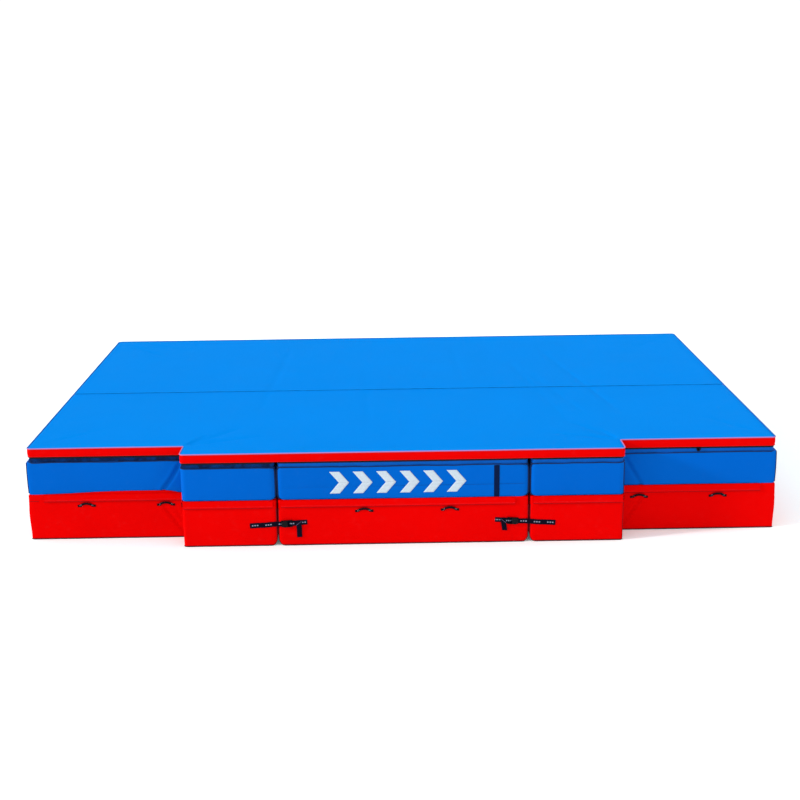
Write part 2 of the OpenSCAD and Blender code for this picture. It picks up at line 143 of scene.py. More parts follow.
class Recipe:
    """A material under construction."""

    def __init__(self, name):
        self.material = bpy.data.materials.new(name)
        self.material.use_nodes = True
        self.tree = self.material.node_tree
        self.tree.nodes.clear()

    def node(self, kind, settings=None, sockets=None, out=0):
        """Adds a node: its settings first, then its sockets' values or links."""
        made = self.tree.nodes.new("ShaderNode" + kind)
        for key, value in (settings or {}).items():
            if key == "stops":
                for element, (place, shade) in zip(made.color_ramp.elements, value):
                    element.position = place
                    element.color = (shade, shade, shade, 1)
            else:
                setattr(made, key, value)
        for key, value in (sockets or {}).items():
            self.put(made.inputs[key], value)
        return Wire(self, made.outputs[out]) if made.outputs else None

    def put(self, socket, value):
        """Links a wire to a socket, or sets the socket's value."""
        if isinstance(value, Wire):
            self.tree.links.new(value.socket, socket)
        else:
            socket.default_value = value

    def place(self):
        """Where a point is on its piece, in metres."""
        return self.node("TexCoord", out="Object")

    def xyz(self, vector):
        """A vector's three numbers."""
        return [self.node("SeparateXYZ", None, {0: vector}, out=i) for i in range(3)]

    def ramp(self, value, start, end, rising=True):
        """From 0 to 1 as a value goes from start to end, or from 1 to 0."""
        low, high = (0.0, 1.0) if rising else (1.0, 0.0)
        return self.node("ValToRGB", {"stops": [(start, low), (end, high)]}, {"Fac": value})

    def speckle(self, vector, size, detail=2.0, rough=0.5):
        """Noise with spots of about a size in metres."""
        sockets = {"Vector": vector, "Scale": 1 / size, "Detail": detail, "Roughness": rough}
        return self.node("TexNoise", None, sockets, out="Fac")

    def blend(self, share, first, second):
        """Mixes two colours by a share from 0 to 1."""
        sockets = {0: share, 6: first, 7: second}
        return self.node("Mix", {"data_type": "RGBA"}, sockets, out=2)

    def surface(self, fixed, varying, height=None, bump_strength=0.2, bump_depth=0.0005):
        """Finishes the material: the values that are the same all over, those that vary, a bump."""
        sockets = dict(fixed)
        sockets.update(varying)
        if height is not None:
            sockets["Normal"] = self.node("Bump", None, {
                "Strength": bump_strength, "Distance": bump_depth, "Height": height}, out="Normal")
        shader = self.node("BsdfPrincipled", None, sockets)
        self.node("OutputMaterial", None, {"Surface": shader})
        return self.material


def tint(colour, factor):
    """A lighter or darker shade of a colour."""
    return tuple(min(1.0, c * factor) for c in colour) + (1.0,)


def coated_fabric(name, colour, shade=0.86, rough=0.50, gloss=0.012, dents=0.0006, crease=None):
    """Coated polyester: a faint woven grain under the coating, cloudy colour, dull scuffs.
    crease is the half-width of a painted shade line along the middle of the piece, by its v coordinate."""
    thread = 0.0022
    make = Recipe(name)
    place = make.place()
    clouds = make.speckle(place, 0.55, 3.0)
    scuffs = make.ramp(make.speckle(place, 0.045, 5.0, 0.65), 0.56, 0.74)
    x, y, z = [(axis * (2 * math.pi / thread)).sin() for axis in make.xyz(place)]
    grain = x * y + y * z + z * x
    body = make.blend(clouds, tint(colour, shade), tint(colour, 1.0))
    worn_and_crease_shade = make.blend(scuffs * 0.05, body, tint(tuple(0.85 * c + 0.05 for c in colour), 1.0))
    # Painted shade: a dark line down the middle of the fold strip, where its groove is.
    if crease:
        v = make.xyz(make.node("TexCoord", out="UV"))[1]
        worn_and_crease_shade = make.blend((abs(v + (clouds - 0.5) * 0.002) < crease) * 0.85, worn_and_crease_shade, tint(colour, 0.2))
    dull = rough + clouds * 0.08 + scuffs * 0.10
    height = grain * 0.35 + make.speckle(place, 0.02, 4.0) * 2.0 + make.speckle(place, 0.07, 3.0) * 5.0
    return make.surface({"Specular IOR Level": gloss}, {"Base Color": worn_and_crease_shade, "Roughness": dull},
                        height, 0.25, dents)


def netting(name, dark, light):
    """Spacer mesh: small open cells, blotched where the foam behind shows through.
    Its top and the left block's net have the dark, shaded copy of its colour, and the other nets' sides a
    painted lit copy."""
    make = Recipe(name)
    place = make.place()
    cells = make.node("TexVoronoi", {"feature": "DISTANCE_TO_EDGE"},
                      {"Vector": place, "Scale": 1 / 0.007}, out="Distance")
    holes = make.ramp(cells, 0.10, 0.32, rising=False)
    blotch = make.ramp(make.speckle(place, 0.075, 4.0, 0.6), 0.40, 0.62)
    x, _, z = make.xyz(place)
    # Painted light: a mask on x and height gives the middle and right nets' sides a lit copy of the colour;
    # the left net and every top keep the shaded copy.
    painted_lit_sides = make.ramp((x + OUTER_X) / (2 * OUTER_X), 0.325, 0.336) * (z < VENT_TOP - 0.004)
    unlit_sides = 1.0 - painted_lit_sides
    body = make.blend(blotch * 0.6 * unlit_sides + painted_lit_sides, tint(dark, 1.0), tint(light, 1.0))
    # Painted shade: the cell openings are painted far darker than the threads, as shade seen into the mesh.
    share = holes * 0.4 * unlit_sides + holes * 0.15 * painted_lit_sides + painted_lit_sides * 0.75 + 0.1
    colour = make.blend(share, tint(dark, 0.35), body)
    return make.surface({"Specular IOR Level": 0.05},
                        {"Base Color": colour, "Roughness": 0.75 + blotch * 0.1}, holes, 0.6, 0.0012)


def woven_tape(name, colour, mark=None):
    """Webbing. u runs along it and v across it, in metres. mark weaves in a row of plain dashes."""
    pitch, run, dash, twill_pitch = 0.107, 0.058, 0.0195, 0.0016
    make = Recipe(name)
    u, v, _ = make.xyz(make.node("TexCoord", out="UV"))
    twill = ((u + abs((v / 0.012).part() - 0.5) * 0.012) * (2 * math.pi / twill_pitch)).sin()
    ribs = (v * (2 * math.pi / 0.0026)).sin()
    fuzz = make.speckle(make.place(), 0.012, 4.0)
    weave = twill * 0.5 + ribs * 0.5
    body = make.blend(weave * 0.25 + fuzz * 0.5, tint(colour, 0.7), tint(colour, 1.9))
    if mark:
        in_row = abs(v) < 0.0048
        in_run = (u / pitch).part() < run / pitch
        in_dash = ((u / pitch).part() * (pitch / dash)).part() < 0.62
        body = make.blend(in_row * in_run * in_dash * (0.82 + fuzz * 0.2), body, tint(mark, 1.0))
    return make.surface({"Specular IOR Level": 0.06},
                        {"Base Color": body, "Roughness": 0.78 + fuzz * 0.12}, weave, 0.5, 0.0006)


def plain_fibre(name, colour, size=0.004, rough=0.7):
    """Thread, piping or print: one colour with a fine irregular grain."""
    make = Recipe(name)
    grain = make.speckle(make.place(), size, 3.0)
    body = make.blend(grain, tint(colour, 0.82), tint(colour, 1.12))
    return make.surface({"Specular IOR Level": 0.1}, {"Base Color": body, "Roughness": rough + grain * 0.1},
                        grain, 0.3, 0.0004)


def open_foam(name, colour):
    """Cut foam: matt, with fine open cells."""
    make = Recipe(name)
    place = make.place()
    cells = make.node("TexVoronoi", None, {"Vector": place, "Scale": 1 / 0.004}, out="Distance")
    clouds = make.speckle(place, 0.2, 3.0)
    body = make.blend(clouds * 0.6 + cells * 0.4, tint(colour, 0.8), tint(colour, 1.05))
    return make.surface({"Specular IOR Level": 0.1}, {"Base Color": body, "Roughness": 0.95 - cells * 0.05},
                        cells, 0.8, 0.002)


def worked_metal(name, colour, metallic, rough):
    """Painted or brushed steel with fine wear."""
    make = Recipe(name)
    place = make.place()
    wear = make.ramp(make.speckle(place, 0.006, 6.0, 0.7), 0.60, 0.72)
    brushed = make.speckle(place, 0.0015, 2.0)
    body = make.blend(wear * 0.5, tint(colour, 1.0), tint(tuple(c + 0.010 for c in colour), 1.0))
    return make.surface({"Metallic": metallic, "Specular IOR Level": 0.12},
                        {"Base Color": body, "Roughness": rough + brushed * 0.12}, brushed, 0.15, 0.0003)


RED_COVER = coated_fabric("red_cover", (0.715, 0.0, 0.0))
BLUE_COVER = coated_fabric("blue_cover", (0.0, 0.106, 0.505))
TOP_BLUE = (0.0, 0.203, 0.68)
TOP_FINISH = {"shade": 0.93, "rough": 0.6, "gloss": 0.003, "dents": 0.0030}
TOP_COVER = coated_fabric("top_cover", TOP_BLUE, **TOP_FINISH)
# The fold strip's cover has a painted shade line along its groove.
FOLD_COVER = coated_fabric("fold_cover", TOP_BLUE, crease=0.0075, **TOP_FINISH)
PAD_BASE = coated_fabric("pad_base", (0.012, 0.05, 0.2))
# The mesh's dark colour, and the painted lit copy for the middle and right nets' sides.
VENT_NET = netting("vent_mesh", (0.003, 0.016, 0.075), (0.002, 0.082, 0.40))
# A navy for the cushion's top binding, and painted shade on the cords up the cushion's corners and in its
# notch.
NAVY_BINDING_AND_SHADE = plain_fibre("navy_binding_and_corner_shade", (0.006, 0.018, 0.075))
# Painted shadow: a black tape that stands for the pad band's shadow on the vent.
BAND_SHADOW_TAPE = plain_fibre("painted_band_shadow_tape", (0.010, 0.008, 0.012))
STRAP_WEB = woven_tape("strap_webbing", (0.0018, 0.002, 0.009), mark=(0.25, 0.27, 0.36))
PLAIN_WEB = woven_tape("plain_webbing", (0.0018, 0.002, 0.009))
TIE_WEB = woven_tape("tie_webbing", (0.001, 0.008, 0.045))
HANDLE_WEB = woven_tape("handle_webbing", (0.008, 0.003, 0.006))
ZIP_TAPE = woven_tape("zip_tape", (0.010, 0.010, 0.013))
ZIP_TEETH = plain_fibre("zip_teeth", (0.03, 0.03, 0.035), rough=0.4)
PALE_THREAD = plain_fibre("pale_thread", (0.66, 0.64, 0.70), 0.0015)
# Painted highlight: a paler colour for the cord along each strap tail's fold.
FOLD_HIGHLIGHT = plain_fibre("painted_fold_highlight", (0.13, 0.13, 0.24), 0.0015)
DARK_THREAD = plain_fibre("dark_thread", (0.020, 0.020, 0.040), 0.0015)
RED_THREAD = plain_fibre("red_thread", (0.58, 0.035, 0.055), 0.0015)
# Painted shadow: a very dark red for the cord at each base's foot, where the base meets the floor.
FOOT_SHADOW_CORD = plain_fibre("foot_shadow_cord", (0.09, 0.004, 0.008), 0.003)
# Painted shade: a dark red for cords that stand in for shade under the flaps' hems, up the base's corners,
# in the notch and along the left cover's tuck.
RED_PAINTED_SHADE = plain_fibre("painted_shade_red_edge", (0.20, 0.002, 0.006), 0.003)
BLUE_THREAD = plain_fibre("blue_thread", (0.02, 0.30, 0.86), 0.0015)
NAVY_THREAD = plain_fibre("navy_thread", (0.004, 0.035, 0.16), 0.0015)
# One cord in two painted copies: lilac as its painted highlight on the front, blue as its painted shade on
# the sides and back.
PIPING_HIGHLIGHT = plain_fibre("lilac_piping_highlight", (0.42, 0.17, 0.40), 0.002, 0.5)
PIPING_SHADE = plain_fibre("blue_piping_shade", (0.0, 0.10, 0.40), 0.002, 0.5)
RED_PIPING = plain_fibre("red_piping", (0.72, 0.0, 0.0), 0.002, 0.5)
PRINT_WHITE = plain_fibre("white_print", (0.50, 0.57, 0.64), 0.010, 0.5)
FOAM = open_foam("foam", (0.80, 0.76, 0.60))
ZIP_METAL = worked_metal("zip_metal", (0.55, 0.55, 0.57), 1.0, 0.3)
BUCKLE_STEEL = worked_metal("buckle_steel", (0.0012, 0.0015, 0.003), 0.0, 0.42)


# ---- mesh helpers ----

def placed(name, data):
    """Puts a mesh, a lamp or a camera in the scene."""
    made = bpy.data.objects.new(name, data)
    bpy.context.scene.collection.objects.link(made)
    return made


def sew(name, vertices, faces, material, body, uv=None, sharp=40):
    """Makes a mesh piece that rides on a body. uv holds one pair for each vertex."""
    mesh = bpy.data.meshes.new(name)
    mesh.from_pydata([tuple(v) for v in vertices], [], faces)
    mesh.materials.append(material)
    mesh.validate()
    if uv:
        layer = mesh.uv_layers.new(name="along_and_across")
        for loop in mesh.loops:
            layer.data[loop.index].uv = uv[loop.vertex_index]
    for polygon in mesh.polygons:
        polygon.use_smooth = True
    mesh.set_sharp_from_angle(angle=math.radians(sharp))
    piece = placed(name, mesh)
    if body:
        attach(piece, body)
    return piece


def hoop_faces(hoops, count, closed=False, ends=True):
    """Quads between hoops of vertices, count in each, and a flat face at either end."""
    pairs = [(i, (i + 1) % hoops) for i in range(hoops if closed else hoops - 1)]
    faces = [(i * count + k, i * count + (k + 1) % count, j * count + (k + 1) % count, j * count + k)
             for i, j in pairs for k in range(count)]
    if ends and not closed:
        faces += [tuple(range(count))[::-1], tuple((hoops - 1) * count + k for k in range(count))]
    return faces


def face_outward(piece):
    """Turns every face of a closed piece outward."""
    bm = bmesh.new()
    bm.from_mesh(piece.data)
    bmesh.ops.recalc_face_normals(bm, faces=bm.faces)
    bm.to_mesh(piece.data)
    bm.free()


def thicken(piece, depth):
    """Gives a fabric sheet its thickness, behind its face."""
    cloth = piece.modifiers.new("cloth_thickness", "SOLIDIFY")
    cloth.thickness, cloth.offset = depth, -1


def smooth(t):
    """From 0 to 1 as t goes from 0 to 1, level at both ends."""
    t = max(0.0, min(1.0, t))
    return t * t * (3 - 2 * t)


def ripple(point, size, height, seed=0.0):
    """Seeded noise: a soft random height, from -height to height."""
    return noise.noise(Vector(point) / size + Vector((seed, 1.7 * seed, 0.3 * seed))) * height


def ridge(a, b, first, last, width):
    """From 0 to 1, how near the point (a, b) is to a straight crease between two points."""
    start, end, here = Vector(first), Vector(last), Vector((a, b))
    along = end - start
    t = (here - start).dot(along) / along.length_squared
    fade = smooth((t - 0.03) / 0.22) * smooth((1 - t) / 0.3)
    return math.exp(-((here - start - along * t).length / width) ** 2) * fade


def stops_between(start, end, spacing):
    """Values from start to just short of end, as far apart as spacing(value) says."""
    at, marks = start, []
    while at < end:
        marks.append(at)
        at += spacing(at)
    scale = (end - start) / (at - start)
    return [start + (m - start) * scale for m in marks]


Spot = namedtuple("Spot", "at out pull")


def grown(spot, by_x, by_y=None):
    """Where a spot goes when the outline grows by so much along x and along y."""
    by_y = by_x if by_y is None else by_y
    return Vector((spot.at.x + spot.pull.x * by_x, spot.at.y + spot.pull.y * by_y))


def outline(corners, spacing):
    """Spots along a closed line with rounded right-angled corners (x, y, radius), anticlockwise.
    pull is the way that a spot moves when the whole outline grows."""
    count, arc_steps = len(corners), 6
    line, pulls = [], []
    for i, (x, y, _) in enumerate(corners):
        here = Vector((x, y))
        back = (here - Vector(corners[i - 1][:2])).normalized()
        on = (Vector(corners[(i + 1) % count][:2]) - here).normalized()
        pulls.append(Vector((back.y, -back.x)) + Vector((on.y, -on.x)))
    for i, (x, y, radius) in enumerate(corners):
        here = Vector((x, y))
        back = (Vector(corners[i - 1][:2]) - here).normalized()
        on = (Vector(corners[(i + 1) % count][:2]) - here).normalized()
        bulges = 1 if back.y * on.x - back.x * on.y > 0 else -1
        centre = here + (back + on) * radius
        for k in range(arc_steps + 1):
            turn = math.pi / 2 * k / arc_steps
            spoke = -(on * math.cos(turn) + back * math.sin(turn))
            line.append(Spot(centre + spoke * radius, spoke * bulges, pulls[i]))
        leave = centre - back * radius
        nx, ny, nradius = corners[(i + 1) % count]
        arrive = Vector((nx, ny)) - on * nradius
        length = (arrive - leave).length
        outward = Vector((on.y, -on.x))
        marks = stops_between(0, length, lambda s: spacing(leave + on * s))
        turn = lambda s: pulls[i].lerp(pulls[(i + 1) % count], s / length)
        line += [Spot(leave + on * s, outward, turn(s)) for s in marks[1:]]
    return line


def wall(name, line, levels, place, material, body, ends=True):
    """A skin round an outline. place(spot, level) gives each vertex of a ring. Closed ends have
    two more rings, each further in than the last."""
    rings = [[place(spot, level) for spot in line] for level in levels]
    inward = lambda ring, inset: [v - spot.pull.to_3d() * inset for v, spot in zip(ring, line)]
    for inset in (0.02, 0.04) if ends else ():
        rings.insert(0, inward(rings[0], inset))
        rings.append(inward(rings[-1], inset))
    faces = hoop_faces(len(rings), len(line), ends=ends)
    return sew(name, [v for ring in rings for v in ring], faces, material, body)


def tube(name, path, radius, material, body, closed=False, flat=1.0):
    """A round or flattened cord along a path of points."""
    vertices = []
    count, sides = len(path), 8
    for i, point in enumerate(path):
        before = path[i - 1] if closed or i else point
        after = path[(i + 1) % count] if closed or i < count - 1 else point
        along = (after - before).normalized()
        up = Vector((0, 0, 1)) if abs(along.z) < 0.9 else Vector((0, 1, 0))
        side = along.cross(up).normalized()
        up = side.cross(along)
        for k in range(sides):
            a = -2 * math.pi * k / sides
            vertices.append(point + side * (math.cos(a) * radius * flat) + up * (math.sin(a) * radius))
    return sew(name, vertices, hoop_faces(count, sides, closed), material, body)


def stitch_row(name, path, outward, material, body, pitch=0.009, length=0.0062, width=0.0011):
    """Lockstitches along a path, each a small spindle. outward(i) is the face's direction there."""
    vertices, faces = [], []
    left = pitch / 2
    for i in range(len(path) - 1):
        start, leg = path[i], path[i + 1] - path[i]
        run = leg.length
        if run < 1e-9:
            continue
        along = leg / run
        out = outward(i)
        side = along.cross(out).normalized()
        while left < run:
            middle = start + along * left
            base = len(vertices)
            half = along * (length / 2)
            vertices += [middle - half, middle + side * width, middle + out * width,
                         middle - side * width, middle - out * (width * 0.4), middle + half]
            faces += [(base, base + a, base + b) for a, b in ((1, 2), (2, 3), (3, 4), (4, 1))]
            faces += [(base + 5, base + a, base + b) for a, b in ((2, 1), (3, 2), (4, 3), (1, 4))]
            left += pitch
        left -= run
    return sew(name, vertices, faces, material, body, sharp=180)


def heading(path, i):
    """Which way an open path runs at one of its points."""
    return (path[min(i + 1, len(path) - 1)] - path[max(i - 1, 0)]).normalized()


def ribbon(name, path, outward, width, thick, material, body, start_u=0.0, across=None):
    """A strip of webbing. path runs along its middle, outward(i) is its face's direction."""
    vertices, uv = [], []
    rows = [(-0.5, 0.18), (-0.46, 0.5), (-0.15, 0.5), (0.15, 0.5), (0.46, 0.5), (0.5, 0.18),
            (0.5, -0.18), (0.46, -0.5), (-0.46, -0.5), (-0.5, -0.18)]
    u = start_u
    for i, point in enumerate(path):
        out = outward(i)
        side = across(i) if across else heading(path, i).cross(out).normalized()
        if i:
            u += (point - path[i - 1]).length
        for a, b in rows:
            vertices.append(point + side * (a * width) + out * (b * thick))
            uv.append((u, a * width))
    piece = sew(name, vertices, hoop_faces(len(path), len(rows)), material, body, uv)
    face_outward(piece)
    return piece


def turned_faces(path, across):
    """The face's direction along a strip that is bent about one line."""
    return [across.cross(heading(path, i)).normalized() for i in range(len(path))]


# ---- the blocks ----

def mirror_line(line):
    """The same outline on the other side, still anticlockwise."""
    turned = Matrix.Diagonal((-1, 1))
    return [Spot(turned @ spot.at, turned @ spot.out, turned @ spot.pull) for spot in reversed(line)]


def near_notch(point):
    """Finer spacing where the face creases, at the notch."""
    away = max(abs(abs(point[0]) - TONGUE_X), abs(point[1] - NOTCH_Y) - 0.15)
    return 0.011 + 0.022 * smooth((away - 0.2) / 0.4)


def block_line(side, corner, inset=0.0, notch=NOTCH_SEAM):
    """A block's outline with rounded corners, drawn in by an inset."""
    if side == "middle":
        x = MIDDLE_X - inset
        corners = [(-x, FRONT + inset, corner), (x, FRONT + inset, corner),
                   (x, BACK - inset, corner), (-x, BACK - inset, corner)]
        return outline(corners, lambda p: 0.028)
    low_x, high_x = INNER_X + inset, OUTER_X - inset
    corners = [(low_x, FRONT + inset, corner), (TONGUE_X - inset, FRONT + inset, corner),
               (TONGUE_X - inset, NOTCH_Y + inset, notch), (high_x, NOTCH_Y + inset, corner),
               (high_x, BACK - inset, corner), (low_x, BACK - inset, corner)]
    line = outline(corners, near_notch)
    return mirror_line(line) if side == "left" else line


def round_in(height, radius):
    """How far a rounded foot or head draws in at a height from its end."""
    if height >= radius:
        return 0.0
    return radius - math.sqrt(max(0.0, radius ** 2 - (radius - height) ** 2))


def faces_joint(spot):
    """True where a spot grows towards the joint between two blocks."""
    return abs(spot.at.x) < MIDDLE_X + 0.001 or spot.pull.x * spot.at.x < 0


def fullness(spot, joint, outer, front, notch_side):
    """How far a side swells along x and along y."""
    x, y = abs(spot.at.x), spot.at.y
    if faces_joint(spot):
        along_x = joint
    elif y < NOTCH_Y - 0.01 or abs(x - TONGUE_X) < 0.01:
        along_x = notch_side
    elif y < NOTCH_Y + 0.01:
        along_x = notch_side + (outer - notch_side) * (x - TONGUE_X) / (OUTER_X - TONGUE_X)
    else:
        along_x = outer * (0.75 + 0.25 * smooth(min(BACK - y, y - NOTCH_Y) / 0.6))
    corner_xs = [MIDDLE_X, INNER_X, OUTER_X] + ([TONGUE_X] if y < 0 else [])
    edge = min(abs(x - c) for c in corner_xs)
    return along_x, front * (0.3 + 0.7 * smooth(edge / 0.25))


def recess_face(spot):
    """True on the front face beside the tongue, behind the notch."""
    return spot.out.y < -0.9 and abs(spot.at.x) > TONGUE_X and spot.at.y < 0


def height_levels(low, high, foot, head, step):
    """Heights of the rings: close together where the side rounds."""
    marks = [low + foot * (1 - math.cos(math.pi / 2 * k / 5)) for k in range(6)]
    marks += stops_between(low + foot, high - head, lambda z: step)[1:]
    marks += [high - head * (1 - math.sin(math.pi / 2 * k / 3)) for k in range(4)]
    return marks


# Creases beside the notch: how far out, from and to as (past the tongue's side, height), width.
BASE_CREASES = [(-0.0070, (0.22, 0.33), (-0.03, -0.04), 0.014),
                (0.0015, (0.24, 0.30), (0.04, 0.02), 0.016)]
LEFT_CREASES = [(-0.0030, (0.10, 0.30), (0.03, 0.10), 0.010)]
CUSHION_CREASES = [(-0.0110, (0.005, CUSHION_TOP + 0.02), (0.22, BASE_TOP - 0.07), 0.015),
                   (0.0035, (0.045, CUSHION_TOP), (0.26, BASE_TOP - 0.07), 0.018)]


def creased(x, z, creases):
    """How far creases push the face out at a point."""
    past = abs(x) - TONGUE_X
    return sum(out * ridge(past, z, first, last, width) for out, first, last, width in creases)


def layer_rise(x, y):
    """The left block's two layers meet a little higher along its recess, and lower at the notch."""
    if x > -TONGUE_X or y > 0:
        return 0.0
    notch = math.exp(-((x + TONGUE_X) / 0.10) ** 2)
    return 0.022 * smooth((OUTER_X + x) / 0.8) * (1 - notch) - 0.006 * notch


def base_vertex(spot, z):
    """Where a point of a base cover's side goes: full between its foot and its head."""
    swell_x, swell_y = fullness(spot, joint=0.001, outer=0.030, front=0.0018, notch_side=0.001)
    rise = math.sin(math.pi * smooth((z - 0.02) / (BASE_TOP - 0.02)))
    joint = faces_joint(spot)
    rise_x = rise if joint else 0.8 + 0.2 * rise
    foot = 0.55 * round_in(z, BASE_FOOT) + 0.45 * max(0.0, BASE_CUT - z) if joint else round_in(z, 0.010)
    head = round_in(BASE_TOP - z, 0.008)
    place = grown(spot, swell_x * rise_x - foot - head, swell_y * rise - round_in(z, 0.010) - head)
    out = ripple((place.x, place.y, z), 0.16, 0.0012, 3.0)
    if recess_face(spot):
        out += creased(place.x, z, BASE_CREASES + (LEFT_CREASES if place.x < 0 else []))
    place += spot.out * out
    share = smooth((z - FLAP_HINGE + 0.006) / (BASE_TOP - FLAP_HINGE))
    return Vector((place.x, place.y, z + max(0.0, layer_rise(place.x, place.y)) * share))


def cushion_sag(x, y):
    """How far the line between base and cushion wanders up or down."""
    return ripple((x, y, 0), 0.45, 0.0025, 5.0) + layer_rise(x, y)


def cushion_vertex(spot, z):
    """Where a point of a cushion cover's side goes: softer and fuller than the base."""
    t = (z - BASE_TOP) / (CUSHION_TOP - BASE_TOP)
    rise = math.sin(math.pi * max(0.0, min(1.0, t * 0.9 + 0.06))) ** 0.7
    swell_x, swell_y = fullness(spot, joint=0.0035, outer=0.029, front=0.006, notch_side=0.003)
    joint = faces_joint(spot)
    draw_x = round_in(z - BASE_TOP, CUSHION_FOOT if joint else 0.006)
    draw_x += round_in(CUSHION_TOP - z, 0.030 if joint else 0.007)
    draw_y = round_in(z - BASE_TOP, 0.010) + round_in(CUSHION_TOP - z, 0.007)
    rise_x = rise if joint else 0.82 + 0.18 * rise
    place = grown(spot, swell_x * rise_x - draw_x, swell_y * rise - draw_y)
    out = ripple((place.x, place.y, z * 0.6), 0.22, 0.0022, 8.0)
    if recess_face(spot):
        out += creased(place.x, z, CUSHION_CREASES)
    if spot.out.y < -0.9 and abs(place.x) < MIDDLE_X:
        out -= 0.0036 * math.exp(-((z - seam_height(place.x)) / 0.008) ** 2)
    place += spot.out * out
    return Vector((place.x, place.y, z + cushion_sag(place.x, place.y) * (1 - smooth(t / 0.6))))


def seam_height(x):
    """Height of the sewn seam across the middle cushion's front."""
    return 0.489 + 0.0035 * math.sin(x * 2.3 + 0.6) + 0.001 * math.sin(x * 9)


def vent_vertex(spot, z):
    """Where a point of a vent net's side goes: nearly flat, with small dents."""
    place = spot.at + spot.out * ripple((spot.at.x, spot.at.y, z), 0.09, 0.0018, 12.0)
    return Vector((place.x, place.y, z))


def ring_path(line, out, height):
    """Points beside an outline, out from it, at a height that may wander."""
    return [Vector((p.x + n.x * out, p.y + n.y * out, height(p))) for p, n, _ in line]


def thinned(points, gap):
    """Leaves out the points of a path that are nearer than a gap to the one before."""
    kept = [points[0]]
    for point in points[1:]:
        if (point - kept[-1]).length > gap:
            kept.append(point)
    return kept


def foam_block(side, layer, inset, low, high, corner):
    """A block of foam inside its cover, its edges rounded."""
    line, rounding = block_line(side, corner, inset, corner), 0.02

    def vertex(spot, z):
        draw = round_in(z - low, rounding) + round_in(high - z, rounding)
        place = grown(spot, -draw) + spot.out * ripple((spot.at.x, spot.at.y, z), 0.07, 0.0008, 2.0)
        return Vector((place.x, place.y, z))

    levels = height_levels(low, high, rounding, rounding, 0.06)
    piece = wall(f"{side}_{layer}_foam", line[::2], levels, vertex, FOAM, side + "_block")
    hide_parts(f"{side}_{layer}_core")
    return piece


def cut_channels(piece):
    """Cuts the base foam's air channels, side to side."""
    count, width, height = 6, 0.26, 0.15
    pitch = (BACK - NOTCH_Y) / count
    cutter = bmesh.new()
    for i in range(count):
        bmesh.ops.create_cube(cutter, size=1, matrix=(
            Matrix.Translation((0, NOTCH_Y + pitch * (i + 0.5), BASE_TOP / 2))
            @ Matrix.Diagonal((8, width, height, 1))))
    mesh = bpy.data.meshes.new("channels")
    cutter.to_mesh(mesh)
    cutter.free()
    tool = placed("channels", mesh)
    cut = piece.modifiers.new("channels", "BOOLEAN")
    cut.operation, cut.object, cut.solver = "DIFFERENCE", tool, "EXACT"
    graph = bpy.context.evaluated_depsgraph_get()
    piece.data = bpy.data.meshes.new_from_object(piece.evaluated_get(graph))
    piece.modifiers.clear()
    bpy.data.objects.remove(tool)


def corner_piping(side, layer, line, vertex, low, high, radius, material):
    """Dark cord sewn up the block's upright corners: its darkness is painted shade where the corners turn,
    thicker at the joints.
    """
    corners, steps = {}, 24
    for spot in line:
        if abs(spot.out.x) > 0.2 and abs(spot.out.y) > 0.2 and spot.out.dot(spot.pull) > 1:
            corners.setdefault((round(spot.at.x), round(spot.at.y)), []).append(spot)
    for number, spots in enumerate(corners.values()):
        lean = 0.88 if faces_joint(spots[0]) else 0.80
        spot = min(spots, key=lambda s: abs(abs(s.out.x) - lean))
        thick = radius * (1.6 if faces_joint(spot) else 1.0)
        path = [vertex(spot, low + (high - low) * k / steps) + spot.out.to_3d() * (thick * 0.2)
                for k in range(steps + 1)]
        tube(f"{side}_{layer}_corner_piping_{number}", path, thick, material, side + "_block")


def notch_corner_piping(side, line, vertex, low, high, material, slot):
    """Dark cord in the inward corner where the recess meets the tongue: painted shade in that corner."""
    spot = min(line, key=lambda s: abs(abs(s.at.x) - TONGUE_X - 0.012) + 9 * abs(s.at.y - NOTCH_Y))
    steps = 20
    path = [vertex(spot, low + (high - low) * k / steps) for k in range(steps + 1)]
    tube(f"{side}_notch_piping_{slot}", path, 0.0036, material, side + "_block")


